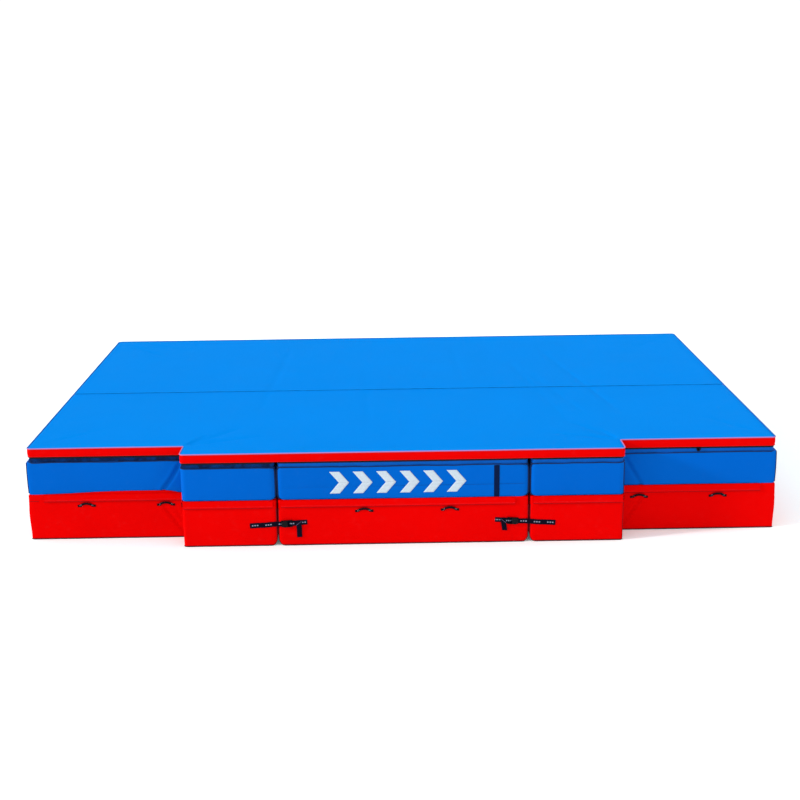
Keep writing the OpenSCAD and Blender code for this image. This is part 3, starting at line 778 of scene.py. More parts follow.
def make_block(side):
    """A block: base, cushion and vent net with their bindings and piping, some of them dark as painted
    shade, and the foams inside.
    """
    body = side + "_block"
    base_line = block_line(side, BASE_CORNER)
    base = wall(side + "_base_shell", base_line, height_levels(0, BASE_TOP, BASE_FOOT, 0.008, 0.017),
                base_vertex, RED_COVER, body)
    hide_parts(side + "_base_cover")
    cushion_line = block_line(side, CUSHION_CORNER)
    cushion = wall(side + "_cushion_shell", cushion_line,
                   height_levels(BASE_TOP, CUSHION_TOP, CUSHION_FOOT, 0.007, 0.012),
                   cushion_vertex, BLUE_COVER, body)
    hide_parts(side + "_cushion_cover")
    vent_line = block_line(side, CUSHION_CORNER - VENT_INSET, VENT_INSET)
    vent_levels = [CUSHION_TOP - 0.002 + i * 0.0075 for i in range(7)]
    vent = wall(side + "_vent_net", vent_line, vent_levels, vent_vertex, VENT_NET, body)
    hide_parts(side + "_vent_mesh")
    wander = lambda p: CUSHION_TOP - 0.001 + ripple((p.x, p.y, 0), 0.12, 0.0045, 5.0)
    tube(side + "_cushion_binding", ring_path(cushion_line, 0.0005, wander), 0.0042, NAVY_BINDING_AND_SHADE, body,
         closed=True, flat=0.7)
    # Painted shadow: a black tape round the vent's top, just under the pad's band, makes the band's shadow
    # line.
    tube(side + "_vent_top_tape", ring_path(vent_line, 0.0022, lambda p: VENT_TOP - 0.0065), 0.006,
         BAND_SHADOW_TAPE, body, closed=True, flat=0.35)
    corner_piping(side, "cushion", cushion_line, cushion_vertex, BASE_TOP + 0.010, CUSHION_TOP - 0.004,
                  0.0045, NAVY_BINDING_AND_SHADE)
    corner_piping(side, "base", base_line, base_vertex, 0.012, BASE_PIPING_TOP, 0.0028, RED_PAINTED_SHADE)
    # Painted shadow: a dark cord round the base's foot darkens its contact with the floor.
    foot = thinned([base_vertex(spot, FOOT_SHADOW_CORD_R + 0.0005) for spot in base_line], 0.012)
    tube(side + "_foot_shadow_cord", foot, FOOT_SHADOW_CORD_R, FOOT_SHADOW_CORD, body, closed=True)
    if side == "left":
        # Painted shade: a thin dark red cord along the left recess darkens the cover's tuck.
        tuck = [base_vertex(s, FLAP_LOW + 0.003) for s in base_line if recess_face(s) and s.at.x < TUCK_END]
        tube("left_cover_tuck", tuck, 0.0020, RED_PAINTED_SHADE, body)
    if side != "middle":
        notch_corner_piping(side, cushion_line, cushion_vertex, BASE_TOP + 0.004, CUSHION_TOP - 0.004,
                            NAVY_BINDING_AND_SHADE, "blue_cover")
        notch_corner_piping(side, base_line, base_vertex, 0.010, BASE_PIPING_TOP, RED_PAINTED_SHADE, "red_cover")
    cut_channels(foam_block(side, "base", 0.016, FOAM_GAP, BASE_TOP - FOAM_GAP, 0.02))
    foam_block(side, "cushion", 0.045, BASE_TOP + FOAM_GAP, VENT_TOP - FOAM_GAP, 0.03)


for side in SIDES:
    make_block(side)


# ---- zips and their flaps ----

FLAP_OUT = FRONT - (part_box("middle_zip_flap")[0].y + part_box("middle_zip_flap")[1].y) / 2
HEM_SEAM = 0.0115       # from a flap's lower edge up to its hem stitches
ZIP_Z = (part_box("middle_zip")[0].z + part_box("middle_zip")[1].z) / 2


def zip_line(side):
    """The zip's way along the front: across the tongue, round the corner and on, in x order."""
    low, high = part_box(side + "_zip")
    line = block_line("middle" if side == "middle" else "right", BASE_CORNER)
    line = [s for s in line if s.at.y < NOTCH_Y + 0.05]
    if side == "middle":
        return [s for s in line if low.x < s.at.x < high.x and s.out.y < -0.9]
    inner, outer = sorted((abs(low.x), abs(high.x)))
    line = [s for s in line if inner < s.at.x < outer and (s.out.y < -0.5 or s.at.x > TONGUE_X - 0.03)]
    return mirror_line(line) if side == "left" else line


def make_zip_tapes(side, line):
    """The two tapes, one above the teeth and one below."""
    rows, lift = [-0.014, -0.008, -0.0006, 0.0006, 0.008, 0.014], 0.0013
    vertices, faces, uv = [], [], []
    along = 0.0
    for i, (p, n, _) in enumerate(line):
        if i:
            along += (p - line[i - 1].at).length
        vertices += [Vector((p.x + n.x * lift, p.y + n.y * lift, ZIP_Z + z)) for z in rows]
        uv += [(along, z) for z in rows]
    count = len(rows)
    for a in range(0, count * (len(line) - 1), count):
        faces += [(a + k, a + count + k, a + count + k + 1, a + k + 1) for k in (0, 1, 3, 4)]
    tapes = sew(side + "_zip_tape", vertices, faces, ZIP_TAPE, side + "_block", uv)
    thicken(tapes, 0.0009)
    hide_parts(side + "_zip")


def make_zip_teeth(side, line):
    """Teeth along the chain, by turns from the upper and the lower tape."""
    pitch, offset, half_length, half_height = 0.0042, 0.0011, 0.0011, 0.0026
    seat, tip, tip_size = 0.0010, 0.0034, 0.75
    square = [(-half_length, -half_height), (half_length, -half_height),
              (half_length, half_height), (-half_length, half_height)]
    vertices, faces = [], []
    left, row = 0.0, 0
    for (p, n, _), (q, _, _) in zip(line, line[1:]):
        leg = q - p
        if leg.length < 1e-9:
            continue
        step = leg.normalized()
        while left < leg.length:
            at = p + step * left
            middle = ZIP_Z + (offset if row % 2 else -offset)
            b = len(vertices)
            for out, size in ((seat, 1.0), (tip, tip_size)):
                vertices += [Vector((at.x + step.x * a + n.x * out, at.y + step.y * a + n.y * out,
                                     middle + z * size)) for a, z in square]
            faces.append((b + 4, b + 5, b + 6, b + 7))
            faces += [(b + k, b + (k + 1) % 4, b + 4 + (k + 1) % 4, b + 4 + k) for k in range(4)]
            left += pitch
            row += 1
        left -= leg.length
    sew(side + "_zip_teeth", vertices, faces, ZIP_TEETH, side + "_block", sharp=30)


def make_flap_welt(side, line):
    """The rolled seam that the flaps hang from."""
    tube(side + "_flap_welt", ring_path(line, 0.0048, lambda p: FLAP_HINGE + 0.0025), 0.0036,
         RED_COVER, side + "_block", flat=1.25)


def make_flap(node, face_y, seed):
    """A strip of cover fabric that hangs from its seam, with a folded hem and a soft wave."""
    low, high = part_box(node)
    name, start, end, drop = node + "_sheet", low.x, high.x, FLAP_HINGE - FLAP_LOW
    count = max(8, int((end - start) / 0.02))
    xs = [start + (end - start) * i / count for i in range(count + 1)]

    def hung(x, z, half):
        hang = (FLAP_HINGE - z) / drop
        wave = (ripple((x, z * 0.3, 0), 0.14, 0.0012, seed) - 0.0007) * hang
        dip = ripple((x, 0, 0), 0.5, 0.002, seed + 4) * hang
        return Vector((x, face_y - FLAP_OUT - half + wave, z + dip))

    rows = [(FLAP_HINGE, 0.0006), (FLAP_HINGE - 0.010, 0.0007), (FLAP_HINGE - 0.022, 0.0007),
            (FLAP_HINGE - 0.034, 0.0007), (FLAP_LOW + 0.012, 0.0008), (FLAP_LOW + 0.0105, 0.0014),
            (FLAP_LOW + 0.002, 0.0014), (FLAP_LOW, 0.0008)]
    rows += [(z, -half) for z, half in reversed(rows)]
    flap = sew(name, [hung(x, z, half) for x in xs for z, half in rows], hoop_faces(count + 1, len(rows)),
               RED_COVER, node, sharp=60)
    face_outward(flap)
    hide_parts(node)
    end - start
    node.split("_")[0] + "_flap_welt"
    seam = [hung(x, FLAP_LOW + HEM_SEAM, 0.0015) for x in xs]
    stitch_row(name + "_hem_stitches", seam, lambda i: Vector((0, -1, 0)), RED_THREAD, node)
    # Painted shadow: a dark cord just under the hem makes the flap's shadow line.
    edge = [p + Vector((0, 0.0009, -0.0005 - HEM_SEAM)) for p in seam]
    tube(name + "_hem_edge", edge, 0.0019, RED_PAINTED_SHADE, node)


def make_notch_flap(side):
    """The short flap that is sewn down over the zip on the notch's side."""
    sign = -1 if side == "left" else 1
    rows = [(FLAP_HINGE + 0.002, 0.0007), (FLAP_HINGE - 0.02, 0.0007), (FLAP_LOW + 0.012, 0.0008),
            (FLAP_LOW + 0.0105, 0.0014), (FLAP_LOW, 0.0012)]
    rows += [(z, -half) for z, half in reversed(rows)]
    ys = [FRONT + 0.015 + 0.019 * i for i in range(11)]
    vertices = [Vector((sign * (TONGUE_X + 0.006 + half), y, z)) for y in ys for z, half in rows]
    face_outward(sew(side + "_notch_flap", vertices, hoop_faces(len(ys), len(rows)), RED_COVER,
                     side + "_block", sharp=60))


for side in SIDES:
    front_line = zip_line(side)
    make_zip_tapes(side, front_line)
    make_zip_teeth(side, front_line)
    make_flap_welt(side, front_line)
for number, (node, face_y) in enumerate((
        ("left_zip_flap", NOTCH_Y), ("left_tongue_flap", FRONT), ("middle_zip_flap", FRONT),
        ("right_tongue_flap", FRONT), ("right_zip_flap", NOTCH_Y))):
    make_flap(node, face_y, 20.0 + number)
make_notch_flap("left")
make_notch_flap("right")


# ---- the top pad ----

FOLD_CORNER = 0.004
FRONT_PAD = [(-TONGUE_X, FRONT, PAD_CORNER), (TONGUE_X, FRONT, PAD_CORNER),
             (TONGUE_X, NOTCH_Y, NOTCH_SEAM), (OUTER_X, NOTCH_Y, PAD_CORNER),
             (OUTER_X, FOLD_FRONT, FOLD_CORNER), (-OUTER_X, FOLD_FRONT, FOLD_CORNER),
             (-OUTER_X, NOTCH_Y, PAD_CORNER), (-TONGUE_X, NOTCH_Y, NOTCH_SEAM)]
REAR_PAD = [(-OUTER_X, FOLD_REAR, FOLD_CORNER), (OUTER_X, FOLD_REAR, FOLD_CORNER),
            (OUTER_X, BACK, PAD_CORNER), (-OUTER_X, BACK, PAD_CORNER)]
CREASE_DEPTH = 3.2
# Long soft creases in the top sheet: from, to, width, height before CREASE_DEPTH.
TOP_CREASES = [
    ((-1.75, -1.78), (-1.30, -1.25), 0.020, 0.0035), ((-1.75, -1.78), (-1.05, -1.50), 0.016, 0.0025),
    ((1.75, -1.78), (1.38, -1.20), 0.020, 0.0035), ((1.75, -1.78), (1.10, -1.52), 0.016, 0.0025),
    ((1.40, 1.70), (1.95, -1.30), 0.030, 0.0020), ((1.05, 1.20), (1.45, -1.60), 0.022, 0.0016),
    ((-1.10, 1.75), (-1.25, -1.20), 0.028, 0.0018), ((-0.35, 0.9), (-0.25, -1.7), 0.024, 0.0012),
    ((-2.90, 1.90), (-2.35, 1.20), 0.018, 0.0025), ((-2.75, 1.95), (-2.10, 1.45), 0.016, 0.0020),
    ((2.92, 1.90), (2.40, 1.30), 0.018, 0.0022), ((-2.95, -1.70), (-2.40, -1.20), 0.018, 0.0020),
    ((2.95, -1.70), (2.50, -1.10), 0.018, 0.0020), ((0.55, 1.9), (0.62, -0.3), 0.030, 0.0012),
    ((-1.75, -1.78), (-1.46, -1.58), 0.013, 0.0036), ((-1.75, -1.78), (-1.57, -1.46), 0.012, 0.0036),
    ((1.75, -1.78), (1.45, -1.62), 0.013, 0.0036), ((1.75, -1.78), (1.60, -1.44), 0.012, 0.0036),
    ((1.20, 0.60), (1.62, -1.20), 0.026, 0.0020), ((-2.2, 1.9), (-2.0, 1.5), 0.014, 0.0020)]


def pad_edge_distance(corners, x, y):
    """How far a point is from the nearest side of the pad."""
    best = 9.0
    for (ax, ay, _), (bx, by, _) in zip(corners, corners[1:] + corners[:1]):
        dx = max(min(ax, bx) - x, 0, x - max(ax, bx))
        dy = max(min(ay, by) - y, 0, y - max(ay, by))
        best = min(best, math.hypot(dx, dy))
    return best


def held_below(z, limit):
    """Eases a height off under a limit, so that the two halves fold flat on each other."""
    ease = 0.0012
    return z if z < limit - ease else limit - ease * math.exp((limit - ease - z) / ease)


def pad_top_height(corners, x, y):
    """Height of the top sheet: rounded at its edges, soft dents, creases, puckers by the fold."""
    edge = pad_edge_distance(corners, x, y)
    z = PAD_TOP - 0.0035 - 0.0055 * (1 - smooth(edge / 0.032)) ** 1.5
    soft = smooth(edge / 0.10)
    z += soft * (ripple((x, y, 0), 0.9, 0.0030, 31.0) + ripple((x, y, 0), 0.20, 0.0020, 37.0))
    for first, last, width, height in TOP_CREASES:
        z -= soft * CREASE_DEPTH * height * ridge(x, y, first, last, width)
    pucker = math.exp(-abs(y - FOLD_Y) / 0.07) * ripple((x, y * 0.25, 0), 0.035, 0.0030, 43.0)
    return max(PAD_TOP - 0.013, held_below(z + pucker * smooth(edge / 0.012), PAD_TOP - 0.0020))


def grid_stops(marks, coarse, reach):
    """Lines of the top sheet's grid: close together near the marks."""
    fine, lines = 0.006, []
    for a, b in zip(marks, marks[1:]):
        gap = lambda s: fine + (coarse - fine) * smooth(min(s - a, b - s) / reach)
        lines += stops_between(a, b, gap)
    return lines + [marks[-1]]


def round_corner(x, y, corner_x, corner_y, radius):
    """Moves a grid point inside a corner's square onto its rounded quarter."""
    sx, sy = math.copysign(1, corner_x), math.copysign(1, corner_y)
    cx, cy = corner_x - sx * radius, corner_y - sy * radius
    a, b = (x - cx) * sx / radius, (y - cy) * sy / radius
    if a <= 0 or b <= 0 or a > 1.001 or b > 1.001:
        return x, y
    a, b = a * math.sqrt(1 - b * b / 2), b * math.sqrt(1 - a * a / 2)
    return cx + sx * a * radius, cy + sy * b * radius


def pad_top_sheet(body, corners):
    """The top sheet: a grid with soft creases, rounded at the pad's corners."""
    front = corners is FRONT_PAD
    xs = grid_stops([-OUTER_X, -TONGUE_X, TONGUE_X, OUTER_X], 0.030, 0.22)
    if front:
        ys = grid_stops([FRONT, NOTCH_Y, FOLD_FRONT], 0.030, 0.16)
    else:
        ys = grid_stops([FOLD_REAR, BACK], 0.034, 0.16)
    number, vertices, faces = {}, [], []
    rounded = [(x, y) for x, y, radius in corners if radius == PAD_CORNER]
    for j, y in enumerate(ys):
        for i, x in enumerate(xs):
            if front and y < NOTCH_Y - 1e-6 and abs(x) > TONGUE_X + 1e-6:
                continue
            number[i, j] = len(vertices)
            px, py = x, y
            for cx, cy in rounded:
                px, py = round_corner(px, py, cx, cy, PAD_CORNER)
            vertices.append(Vector((px, py, pad_top_height(corners, x, y))))
    for j in range(len(ys) - 1):
        for i in range(len(xs) - 1):
            ring = [(i, j), (i + 1, j), (i + 1, j + 1), (i, j + 1)]
            if all(c in number for c in ring):
                faces.append(tuple(number[c] for c in ring))
    sheet = sew(body + "_top_sheet", vertices, faces, TOP_COVER, body)
    thicken(sheet, 0.0012)
    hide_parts(body + "_top")


def pad_sway(point):
    """How far the pad's edge wanders up or down."""
    return ripple((point.x, point.y, 0), 0.7, 0.001, 55.0)


def band_vertex(spot, level):
    """The pad's edge band: slightly full between its two piped edges, with small puckers."""
    x, y = spot.at
    low, high = PAD_LOW + 0.003, PAD_TOP - 0.007
    z = low + (high - low) * level
    out = 0.0035 * math.sin(math.pi * level) - 0.001
    out += ripple((x, y, z * 0.4), 0.06, 0.0010, 51.0) + ripple((x, y, 0), 0.5, 0.0012, 53.0)
    place = spot.at + spot.out * out
    return Vector((place.x, place.y, z + pad_sway(spot.at)))


def trim_pad_edge(body, line, fold):
    """Piping along the band's two edges and a row of stitches, all round but for the fold."""
    edge = [spot for spot in line if abs(spot.at.y - fold) > 0.003]
    turn = next(i for i in range(len(edge)) if (edge[i].at - edge[i - 1].at).length > 1.0)
    edge = edge[turn:] + edge[:turn]
    upper = ring_path(edge, 0.0005, lambda p: PAD_TOP - 0.0068 + pad_sway(p))
    # Painted light: the upper cord is lilac along the front, a painted highlight, and blue along the sides
    # and back, its painted shade.
    facing = [p for p in upper if p.y < NOTCH_Y + 0.02]
    if facing:
        tube(body + "_front_piping", facing, PIPING_R, PIPING_HIGHLIGHT, body)
    for number, keep in enumerate((lambda p: p.x < 0, lambda p: p.x > 0) if facing else (lambda p: True,)):
        run = [p for p in upper if p.y > NOTCH_Y + 0.01 and keep(p)]
        tube(f"{body}_top_piping_{number}", run, PIPING_R, PIPING_SHADE, body)
    tube(body + "_lower_piping", ring_path(edge, 0.0, lambda p: PAD_LOW + 0.0040), 0.003, RED_PIPING, body)
    stitch_row(body + "_band_stitches", ring_path(edge, 0.0022, lambda p: PAD_TOP - 0.0155),
               lambda i: edge[i].out.to_3d(), RED_THREAD, body)


def make_pad(section, corners, fold):
    """Half of the top pad: top sheet, edge band, under sheet and foam."""
    body = "pad_" + section
    pad_top_sheet(body, corners)
    line = outline(corners, lambda p: 0.018)
    band = wall(body + "_edge_band", line, [0, 0.12, 0.3, 0.5, 0.7, 0.88, 1.0], band_vertex, RED_COVER,
                body, ends=False)
    thicken(band, 0.0012)
    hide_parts(body + "_band")
    under = wall(body + "_under_sheet", line, [PAD_LOW + 0.001, PAD_LOW + 0.003],
                 lambda spot, z: grown(spot, -0.001).to_3d() + Vector((0, 0, z)), PAD_BASE, body)
    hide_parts(body + "_underside")
    trim_pad_edge(body, line, fold)
    inner = outline([(x, y, max(radius, 0.012)) for x, y, radius in corners], lambda p: 0.06)
    low, high, soft = PAD_LOW + 0.008, PAD_TOP - 0.016, 0.006
    draw = lambda z: 0.010 + round_in(min(z - low, high - z), soft)
    foam = wall(body + "_foam", inner, [low, low + soft, high - soft, high],
                lambda spot, z: grown(spot, -draw(z)).to_3d() + Vector((0, 0, z)), FOAM, body)
    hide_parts(body + "_core")


make_pad("front", FRONT_PAD, FOLD_FRONT)
make_pad("rear", REAR_PAD, FOLD_REAR)

FOLD_HALF = 0.030       # half the width of the strip over the fold


def fold_seat(x, off):
    """Height of the top sheet beside the strip, on off's side of the fold."""
    corners = FRONT_PAD if off < 0 else REAR_PAD
    return pad_top_height(corners, x, FOLD_Y + math.copysign(FOLD_HALF, off or 1))


def make_fold_strip():
    """The strip that joins the pad's halves: a groove along its middle, puckered at its seams."""
    low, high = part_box("pad_fold_strip")
    xs = [low.x + (high.x - low.x) * i / 400 for i in range(401)]
    halves = [0.002, 0.004, 0.006, 0.009, 0.014, 0.022, 0.029, FOLD_HALF]
    offs = [-off for off in reversed(halves)] + [0.0] + halves
    half_thick, groove_depth, groove_width = 0.0006, 0.0052, 0.0052
    vertices, faces, uv = [], [], []
    for face in (half_thick, -half_thick):
        for x in xs:
            for off in offs:
                groove = groove_depth * math.exp(-(off / groove_width) ** 2)
                edge = 0.0009 * (1 - smooth((FOLD_HALF - abs(off)) / 0.003))
                pucker = ripple((x, (FOLD_Y + off) * 0.3, 0), 0.028, 0.0016, 61.0)
                pucker *= math.exp(-abs(off) / 0.016)
                z = fold_seat(x, off) + 0.0012 - edge - groove + pucker + face
                vertices.append(Vector((x, FOLD_Y + off, z)))
                uv.append((x, off))
    n, size = len(offs), len(offs) * len(xs)
    for a in range(0, size - n, n):
        for k in range(a, a + n - 1):
            faces += [(k, k + n, k + n + 1, k + 1), (size + k, size + k + 1, size + k + n + 1, size + k + n)]
    for a in range(0, size - n, n):
        b = a + n - 1
        faces += [(a, size + a, size + a + n, a + n), (b, b + n, size + b + n, size + b)]
    for k in range(n - 1):
        a = size - n + k
        faces += [(k, k + 1, size + k + 1, size + k), (a, size + a, size + a + 1, a + 1)]
    strip = sew("pad_fold_strip_sheet", vertices, faces, FOLD_COVER, None, uv, sharp=60)
    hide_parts("pad_fold_strip")
    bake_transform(strip)
    for off, body in ((-0.026, "pad_front"), (0.026, "pad_rear")):
        path = [Vector((x, FOLD_Y + off, fold_seat(x, off) + 0.0022)) for x in xs]
        stitch_row(body + "_fold_stitches", path, lambda i: Vector((0, 0, 1)), BLUE_THREAD, body)


make_fold_strip()


# ---- straps, buckles and tails ----

STRAP_W = 0.042
STRAP_T = 0.0022
STRAP_TURN = 0.022      # how far the strap runs on past the buckle's pin
ANCHOR_REACH = {"left": 0.167, "right": 0.146}
# Where each tail's fold is along the buckle's u, how far it drops, and its slant.
TAILS = {"left": (0.098, 0.122, 0.0), "right": (0.081, 0.086, 0.16)}


def strap_ends(side, back):
    """The middle of a long strap's outer and inner ends, on its outer face, from the frame."""
    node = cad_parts[side + "_straps"]
    points = [v.co for v in node.data.vertices if (v.co.y > 0) == back]
    sign = -1 if side == "left" else 1
    far = max(p.x * sign for p in points)
    near = min(p.x * sign for p in points)
    outer = [p for p in points if p.x * sign > far - 0.004]
    inner = [p for p in points if p.x * sign < near + 0.004]
    middle = lambda some: sum(some, Vector()) / len(some)
    return middle(outer), middle(inner)


class Buckle:
    """A buckle's own axes: u towards the middle of the mat, out from the face, w upwards."""

    def __init__(self, side, back):
        outer, inner = strap_ends(side, back)
        self.side, self.block = side, side + "_block"
        self.tag = f"{side}_{'back' if back else 'front'}"
        self.out = Vector((0, 1 if back else -1, 0))
        along = inner - outer
        along.y = 0
        self.u = along.normalized()
        self.w = Vector((0, 0, 1)) - self.u * self.u.z
        self.w.normalize()
        self.origin = Vector((inner.x, BACK if back else FRONT, inner.z)) - self.u * STRAP_TURN
        self.reach = along.length - STRAP_TURN

    def at(self, u, out, w=0.0):
        """A point on these axes, from the buckle's bar on the block's face."""
        return self.origin + self.u * u + self.out * out + self.w * w


def webbing(buckle, piece, path, material, body, width=STRAP_W, thick=STRAP_T, start_u=0.0,
            outs=None, across=None):
    """Strap webbing in a buckle's axes. Its face is outward unless outs says other directions,
    and its width is upright unless across says another."""
    return ribbon(f"{buckle.tag}_{piece}", path, lambda i: outs[i] if outs else buckle.out, width, thick,
                  material, body, start_u, lambda i: across or buckle.w)


def bar_tack_box(buckle, piece, start, out, body):
    """A sewn box with a cross, as webbing ends are sewn."""
    end, half = start + 0.054, 0.016
    corners = [(start, -half), (end, -half), (end, half), (start, half), (start, -half), (end, half),
               (end, -half), (start, half)]
    path = [buckle.at(u, out, w) for u, w in corners]
    stitch_row(f"{buckle.tag}_{piece}", path, lambda i: buckle.out, DARK_THREAD, body,
               pitch=0.0052, length=0.0038, width=0.0007)


def make_long_strap(buckle):
    """The strap from its seam on a side block to the buckle."""
    steps, path = 60, []
    for i in range(steps + 1):
        u = -buckle.reach + (buckle.reach + STRAP_TURN) * i / steps
        lift = 0.0043 + 0.0012 * math.sin(math.pi * i / steps) * (0.5 + 0.5 * math.sin(i * 0.7))
        path.append(buckle.at(u, lift, 0.0012 * math.sin(i * 0.21)))
    strap = webbing(buckle, "strap", path, STRAP_WEB, None, start_u=-0.016)
    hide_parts(buckle.side + "_straps")
    sign = 1 if buckle.side == "right" else -1
    sign * (INNER_X + 0.05)
    sign * (MIDDLE_X - 0.012)
    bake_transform(strap)
    patch = [buckle.at(-buckle.reach + 0.001 + 0.004 * i, 0.0022) for i in range(19)]
    webbing(buckle, "strap_patch", patch, PLAIN_WEB, buckle.block, width=STRAP_W + 0.001)
    bar_tack_box(buckle, "strap_stitches", -buckle.reach + 0.008, 0.0036, buckle.block)


def make_buckle_anchor(buckle):
    """The webbing that holds the buckle: round its bar, then flat on the middle block."""
    reach, bar_u, bar_out, loop_r = ANCHOR_REACH[buckle.side], 0.044, 0.0054, 0.0043
    path = []
    for k in range(12, -1, -1):
        a = math.pi * (1.5 - k / 12 * 1.25)
        path.append(buckle.at(bar_u - math.cos(a) * loop_r, bar_out + math.sin(a) * loop_r))
    path += [buckle.at(u, 0.0012) for u in stops_between(bar_u + 0.004, reach, lambda s: 0.006) + [reach]]
    facing = math.copysign(1, -buckle.u.x * buckle.out.y)
    outs = [out * facing for out in turned_faces(path, buckle.w)]
    anchor = webbing(buckle, "buckle_anchor", path, STRAP_WEB, "middle_block", thick=0.0020, start_u=0.03,
                     outs=outs)
    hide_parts("buckle_anchors")
    bar_tack_box(buckle, "anchor_stitches", reach - 0.062, 0.0026, "middle_block")


def make_strap_tail(buckle):
    """The strap's loose end: on past the buckle, then folded over to hang down."""
    place, drop, slant = TAILS[buckle.side]
    width, half, run_end = STRAP_W * 0.98, STRAP_W / 2, place + STRAP_W / 2
    over_bar = [(0.0225, 0.0044), (0.030, 0.0075), (0.037, 0.0112), (0.046, 0.0124)]
    path = [buckle.at(u, out) for u, out in over_bar]
    path += [buckle.at(u, 0.0122 - 0.0016 * (u - 0.046) / (run_end - 0.046))
             for u in stops_between(0.054, run_end, lambda s: 0.006)]
    run = webbing(buckle, "strap_tail_run", path, STRAP_WEB, "middle_block", width=width, start_u=0.01)
    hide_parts("strap_tails")
    hang, length, steps = [], drop + half - 0.004, 21
    for k in range(steps + 1):
        t = k / steps
        shift = -slant * t * length + 0.002 * math.sin(t * 5)
        out = 0.0142 - 0.0065 * smooth(t * 1.3) + 0.002 * math.sin(t * 6)
        hang.append(buckle.at(place + shift, out, half - 0.003 - t * length))
    webbing(buckle, "strap_tail_drop", hang, PLAIN_WEB, "middle_block", width=width, across=buckle.u)
    # Painted highlight: a paler cord along the tail's fold.
    fold = [buckle.at(place - half + STRAP_W * k / 8, 0.0150, -half + 0.004 + (STRAP_W - 0.012) * k / 8)
            for k in range(9)]
    tube(buckle.tag + "_tail_fold", fold, 0.0014, FOLD_HIGHLIGHT, "middle_block", flat=1.2)


for side in ("left", "right"):
    for back in (False, True):
        buckle = Buckle(side, back)
        make_long_strap(buckle)
        make_buckle_anchor(buckle)
        make_strap_tail(buckle)


# ---- carry handles ----

def make_handle(node):
    """A short webbing loop, bowed out from the face, with both ends sewn down flat."""
    low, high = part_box(node)
    back = low.y > 0
    out = Vector((0, 1 if back else -1, 0))
    face = low.y - HANDLE_BACK_GAP if back else high.y + HANDLE_BACK_GAP
    centre, half, rise, lowest = (low.x + high.x) / 2, 0.0475, 0.021, low.z + 0.0125
    steps, path, outs = 24, [], []
    for i in range(steps + 1):
        s = -1 + 2 * i / steps
        lift = math.cos(s * math.pi / 2) ** 0.6
        stand = 0.0025 + 0.011 * lift ** 1.3
        tilt = math.radians(16) * lift
        path.append(Vector((centre + s * half, face, lowest + rise * lift)) + out * stand)
        outs.append((out * math.cos(tilt) + Vector((0, 0, -1)) * math.sin(tilt)).normalized())
    for k in range(1, 6):
        path.insert(0, path[0] + Vector((-0.005, 0, -0.0001 * k)))
        outs.insert(0, out)
        path.append(path[-1] + Vector((0.005, 0, -0.0001 * k)))
        outs.append(out)
    handle = ribbon(node + "_webbing", path, lambda i: outs[i], 0.020, 0.0026, HANDLE_WEB, node)
    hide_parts(node)
    for end, a in (("a", 3), ("b", len(path) - 9)):
        for k, shift in enumerate((-0.004, 0.004)):
            line = [p + Vector((0, 0, shift)) + out * 0.0016 for p in (path[a], path[a + 5])]
            stitch_row(f"{node}_tack_{end}{k}", line, lambda i: out, PALE_THREAD, node,
                       pitch=0.0048, length=0.0036, width=0.0009)


for node in [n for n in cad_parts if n.endswith("_handle")]:
    make_handle(node)


# ---- tie strap, ring and tab, print ----

def on_cushion_front(x, z, lift):
    """A point on the middle cushion's front face."""
    v = cushion_vertex(Spot(Vector((x, FRONT)), Vector((0, -1)), Vector((x / MIDDLE_X, -1))), z)
    return Vector((x, v.y - lift, z))


def make_tie_strap():
    """The strap that runs up the middle cushion's front."""
    low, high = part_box("cushion_tie_strap")
    x = (low.x + high.x) / 2
    heights = stops_between(low.z - 0.002, CUSHION_TOP + 0.004, lambda z: 0.01)
    path = [on_cushion_front(x, z, 0.0014) for z in heights]
    path = [Vector((x, min(p.y, FRONT - 0.001), p.z)) for p in path]
    strap = ribbon("middle_tie_strap", path, lambda i: Vector((0, -1, 0)), high.x - low.x, 0.002, TIE_WEB,
                   "middle_block")
    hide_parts("cushion_tie_strap")


def make_cushion_seam():
    """The row of stitches across the middle cushion's front."""
    steps, end_gap = 240, 0.035
    length = 2 * MIDDLE_X - 2 * end_gap
    xs = [-MIDDLE_X + end_gap + length * i / steps for i in range(steps + 1)]
    stitch_row("middle_cushion_seam", [on_cushion_front(x, seam_height(x), 0.0004) for x in xs],
               lambda i: Vector((0, -1, 0)), NAVY_THREAD, "middle_block",
               pitch=0.007, length=0.0068, width=0.0019)


def make_print():
    """A plain row of chevrons printed on the middle cushion."""
    low_z, high_z, arm, lean, chevrons = 0.435, 0.615, 0.080, 0.075, 6
    first, pitch, columns, rows = -0.58, 0.185, 6, 16
    middle_z = (low_z + high_z) / 2
    vertices, faces = [], []
    for c in range(chevrons):
        for lower, upper, rising in ((low_z, middle_z, True), (middle_z, high_z, False)):
            base = len(vertices)
            for j in range(rows + 1):
                t = j / rows
                z = lower + (upper - lower) * t
                push = lean * (t if rising else 1 - t)
                vertices += [on_cushion_front(first + c * pitch + push + arm * i / columns, z, 0.0020)
                             for i in range(columns + 1)]
            for j in range(rows):
                for i in range(columns):
                    a = base + j * (columns + 1) + i
                    faces.append((a, a + 1, a + columns + 2, a + columns + 1))
    thicken(sew("middle_front_print", vertices, faces, PRINT_WHITE, "middle_block"), 0.0006)


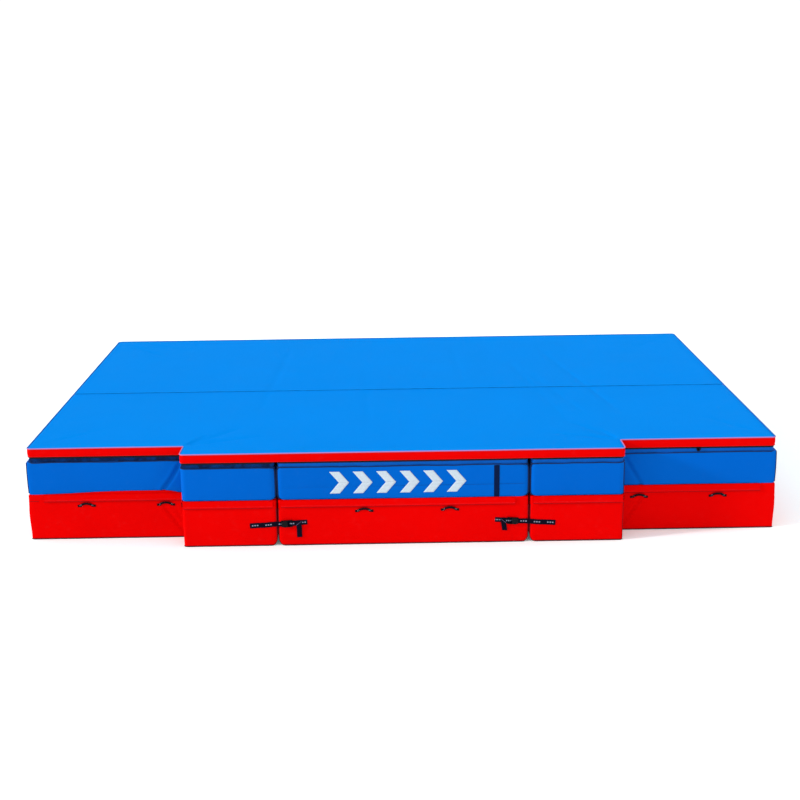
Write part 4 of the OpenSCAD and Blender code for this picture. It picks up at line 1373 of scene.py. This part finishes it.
def make_ring_tab():
    """The tab that holds the tie ring: up the face, round the ring and back down."""
    low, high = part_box("right_tie_tab")
    ring_low, ring_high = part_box("right_tie_ring")
    x, y, z = (low.x + high.x) / 2, (ring_low.y + ring_high.y) / 2, ring_high.z - 0.0035
    face, turn_r = high.y - 0.001, 0.0052
    path = [Vector((x, face - 0.001, low.z)), Vector((x, face - 0.001, low.z + 0.012)),
            Vector((x, face - 0.0012, z - 0.006))]
    for k in range(9):
        a = math.radians(-60 + 300 * k / 8)
        path.append(Vector((x, y + turn_r * math.cos(a), z + turn_r * math.sin(a))))
    path.append(Vector((x, face - 0.0032, z - 0.008)))
    path.append(Vector((x, face - 0.0032, low.z + 0.004)))
    across = Vector((1, 0, 0))
    outs = turned_faces(path, across)
    tab = ribbon("right_ring_tab", path, lambda i: outs[i], high.x - low.x, 0.0014, PLAIN_WEB,
                 "right_block", across=lambda i: across)
    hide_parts("right_tie_tab")


make_tie_strap()
make_cushion_seam()
make_print()
make_ring_tab()


# ---- metal pieces keep their CAD shape ----

def dress(node, material, bevel):
    """Gives a CAD piece its metal and softens its edges."""
    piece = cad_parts[node]
    piece.data.materials.clear()
    piece.data.materials.append(material)
    soften = piece.modifiers.new("soft_edges", "BEVEL")
    soften.width, soften.segments, soften.limit_method = bevel, 2, "ANGLE"
    soften.angle_limit = math.radians(35)


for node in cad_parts:
    if node.endswith("_lever") or node == "buckle_frames":
        dress(node, BUCKLE_STEEL, 0.0006)
    elif node.endswith("_slider"):
        dress(node, ZIP_METAL, 0.0005)
    elif node == "right_tie_ring":
        dress(node, BUCKLE_STEEL, 0.0002)


# ---- stage, light and camera ----

def make_stage():
    half, z = 60, -0.0005
    mesh = bpy.data.meshes.new("floor")
    mesh.from_pydata([(-half, -half, z), (half, -half, z), (half, half, z), (-half, half, z)],
                     [], [(0, 1, 2, 3)])
    pale = Recipe("pale_floor").surface({
        "Roughness": 0.9, "Specular IOR Level": 0.1, "Base Color": (0.94, 0.955, 0.955, 1),
        "Emission Color": (0.02, 0.11, 0.11, 1), "Emission Strength": 1.0}, {})
    mesh.materials.append(pale)
    placed("floor", mesh)


def make_sun(name, place, strength, softness):
    """A distant soft light that shines from a place towards the mat."""
    lamp = bpy.data.lights.new(name, "SUN")
    lamp.energy, lamp.angle = strength, math.radians(softness)
    holder = placed(name, lamp)
    holder.rotation_mode = "QUATERNION"
    holder.rotation_quaternion = (-Vector(place)).to_track_quat("-Z", "Y")


def make_world():
    world = bpy.data.worlds.new("white_studio")
    bpy.context.scene.world = world
    world.use_nodes = True
    back = world.node_tree.nodes["Background"]
    back.inputs["Color"].default_value = (1, 1, 1, 1)
    back.inputs["Strength"].default_value = 1.08


def make_camera():
    place, pitch, roll, yaw = Vector((-0.109, -11.595, 3.876)), -15.63, 0.74, -0.56
    turn = (Matrix.Rotation(math.radians(yaw), 3, "Z") @ Matrix.Rotation(math.radians(pitch), 3, "X")
            @ Matrix.Rotation(math.radians(roll), 3, "Y"))
    right, forward, up = turn.col
    lens = bpy.data.cameras.new("camera")
    lens.lens, lens.sensor_width = 57.9, 36
    camera = placed("camera", lens)
    axes = Matrix((right, up, -forward)).transposed().to_4x4()
    camera.matrix_world = Matrix.Translation(place) @ axes
    bpy.context.scene.camera = camera


make_stage()
make_world()
make_sun("key", (-8, -1.8, 3.2), 2.4, 6)
make_sun("fill", (8, 1.5, 2.2), 0.5, 20)
make_camera()
bpy.context.scene.view_settings.view_transform = "Standard"
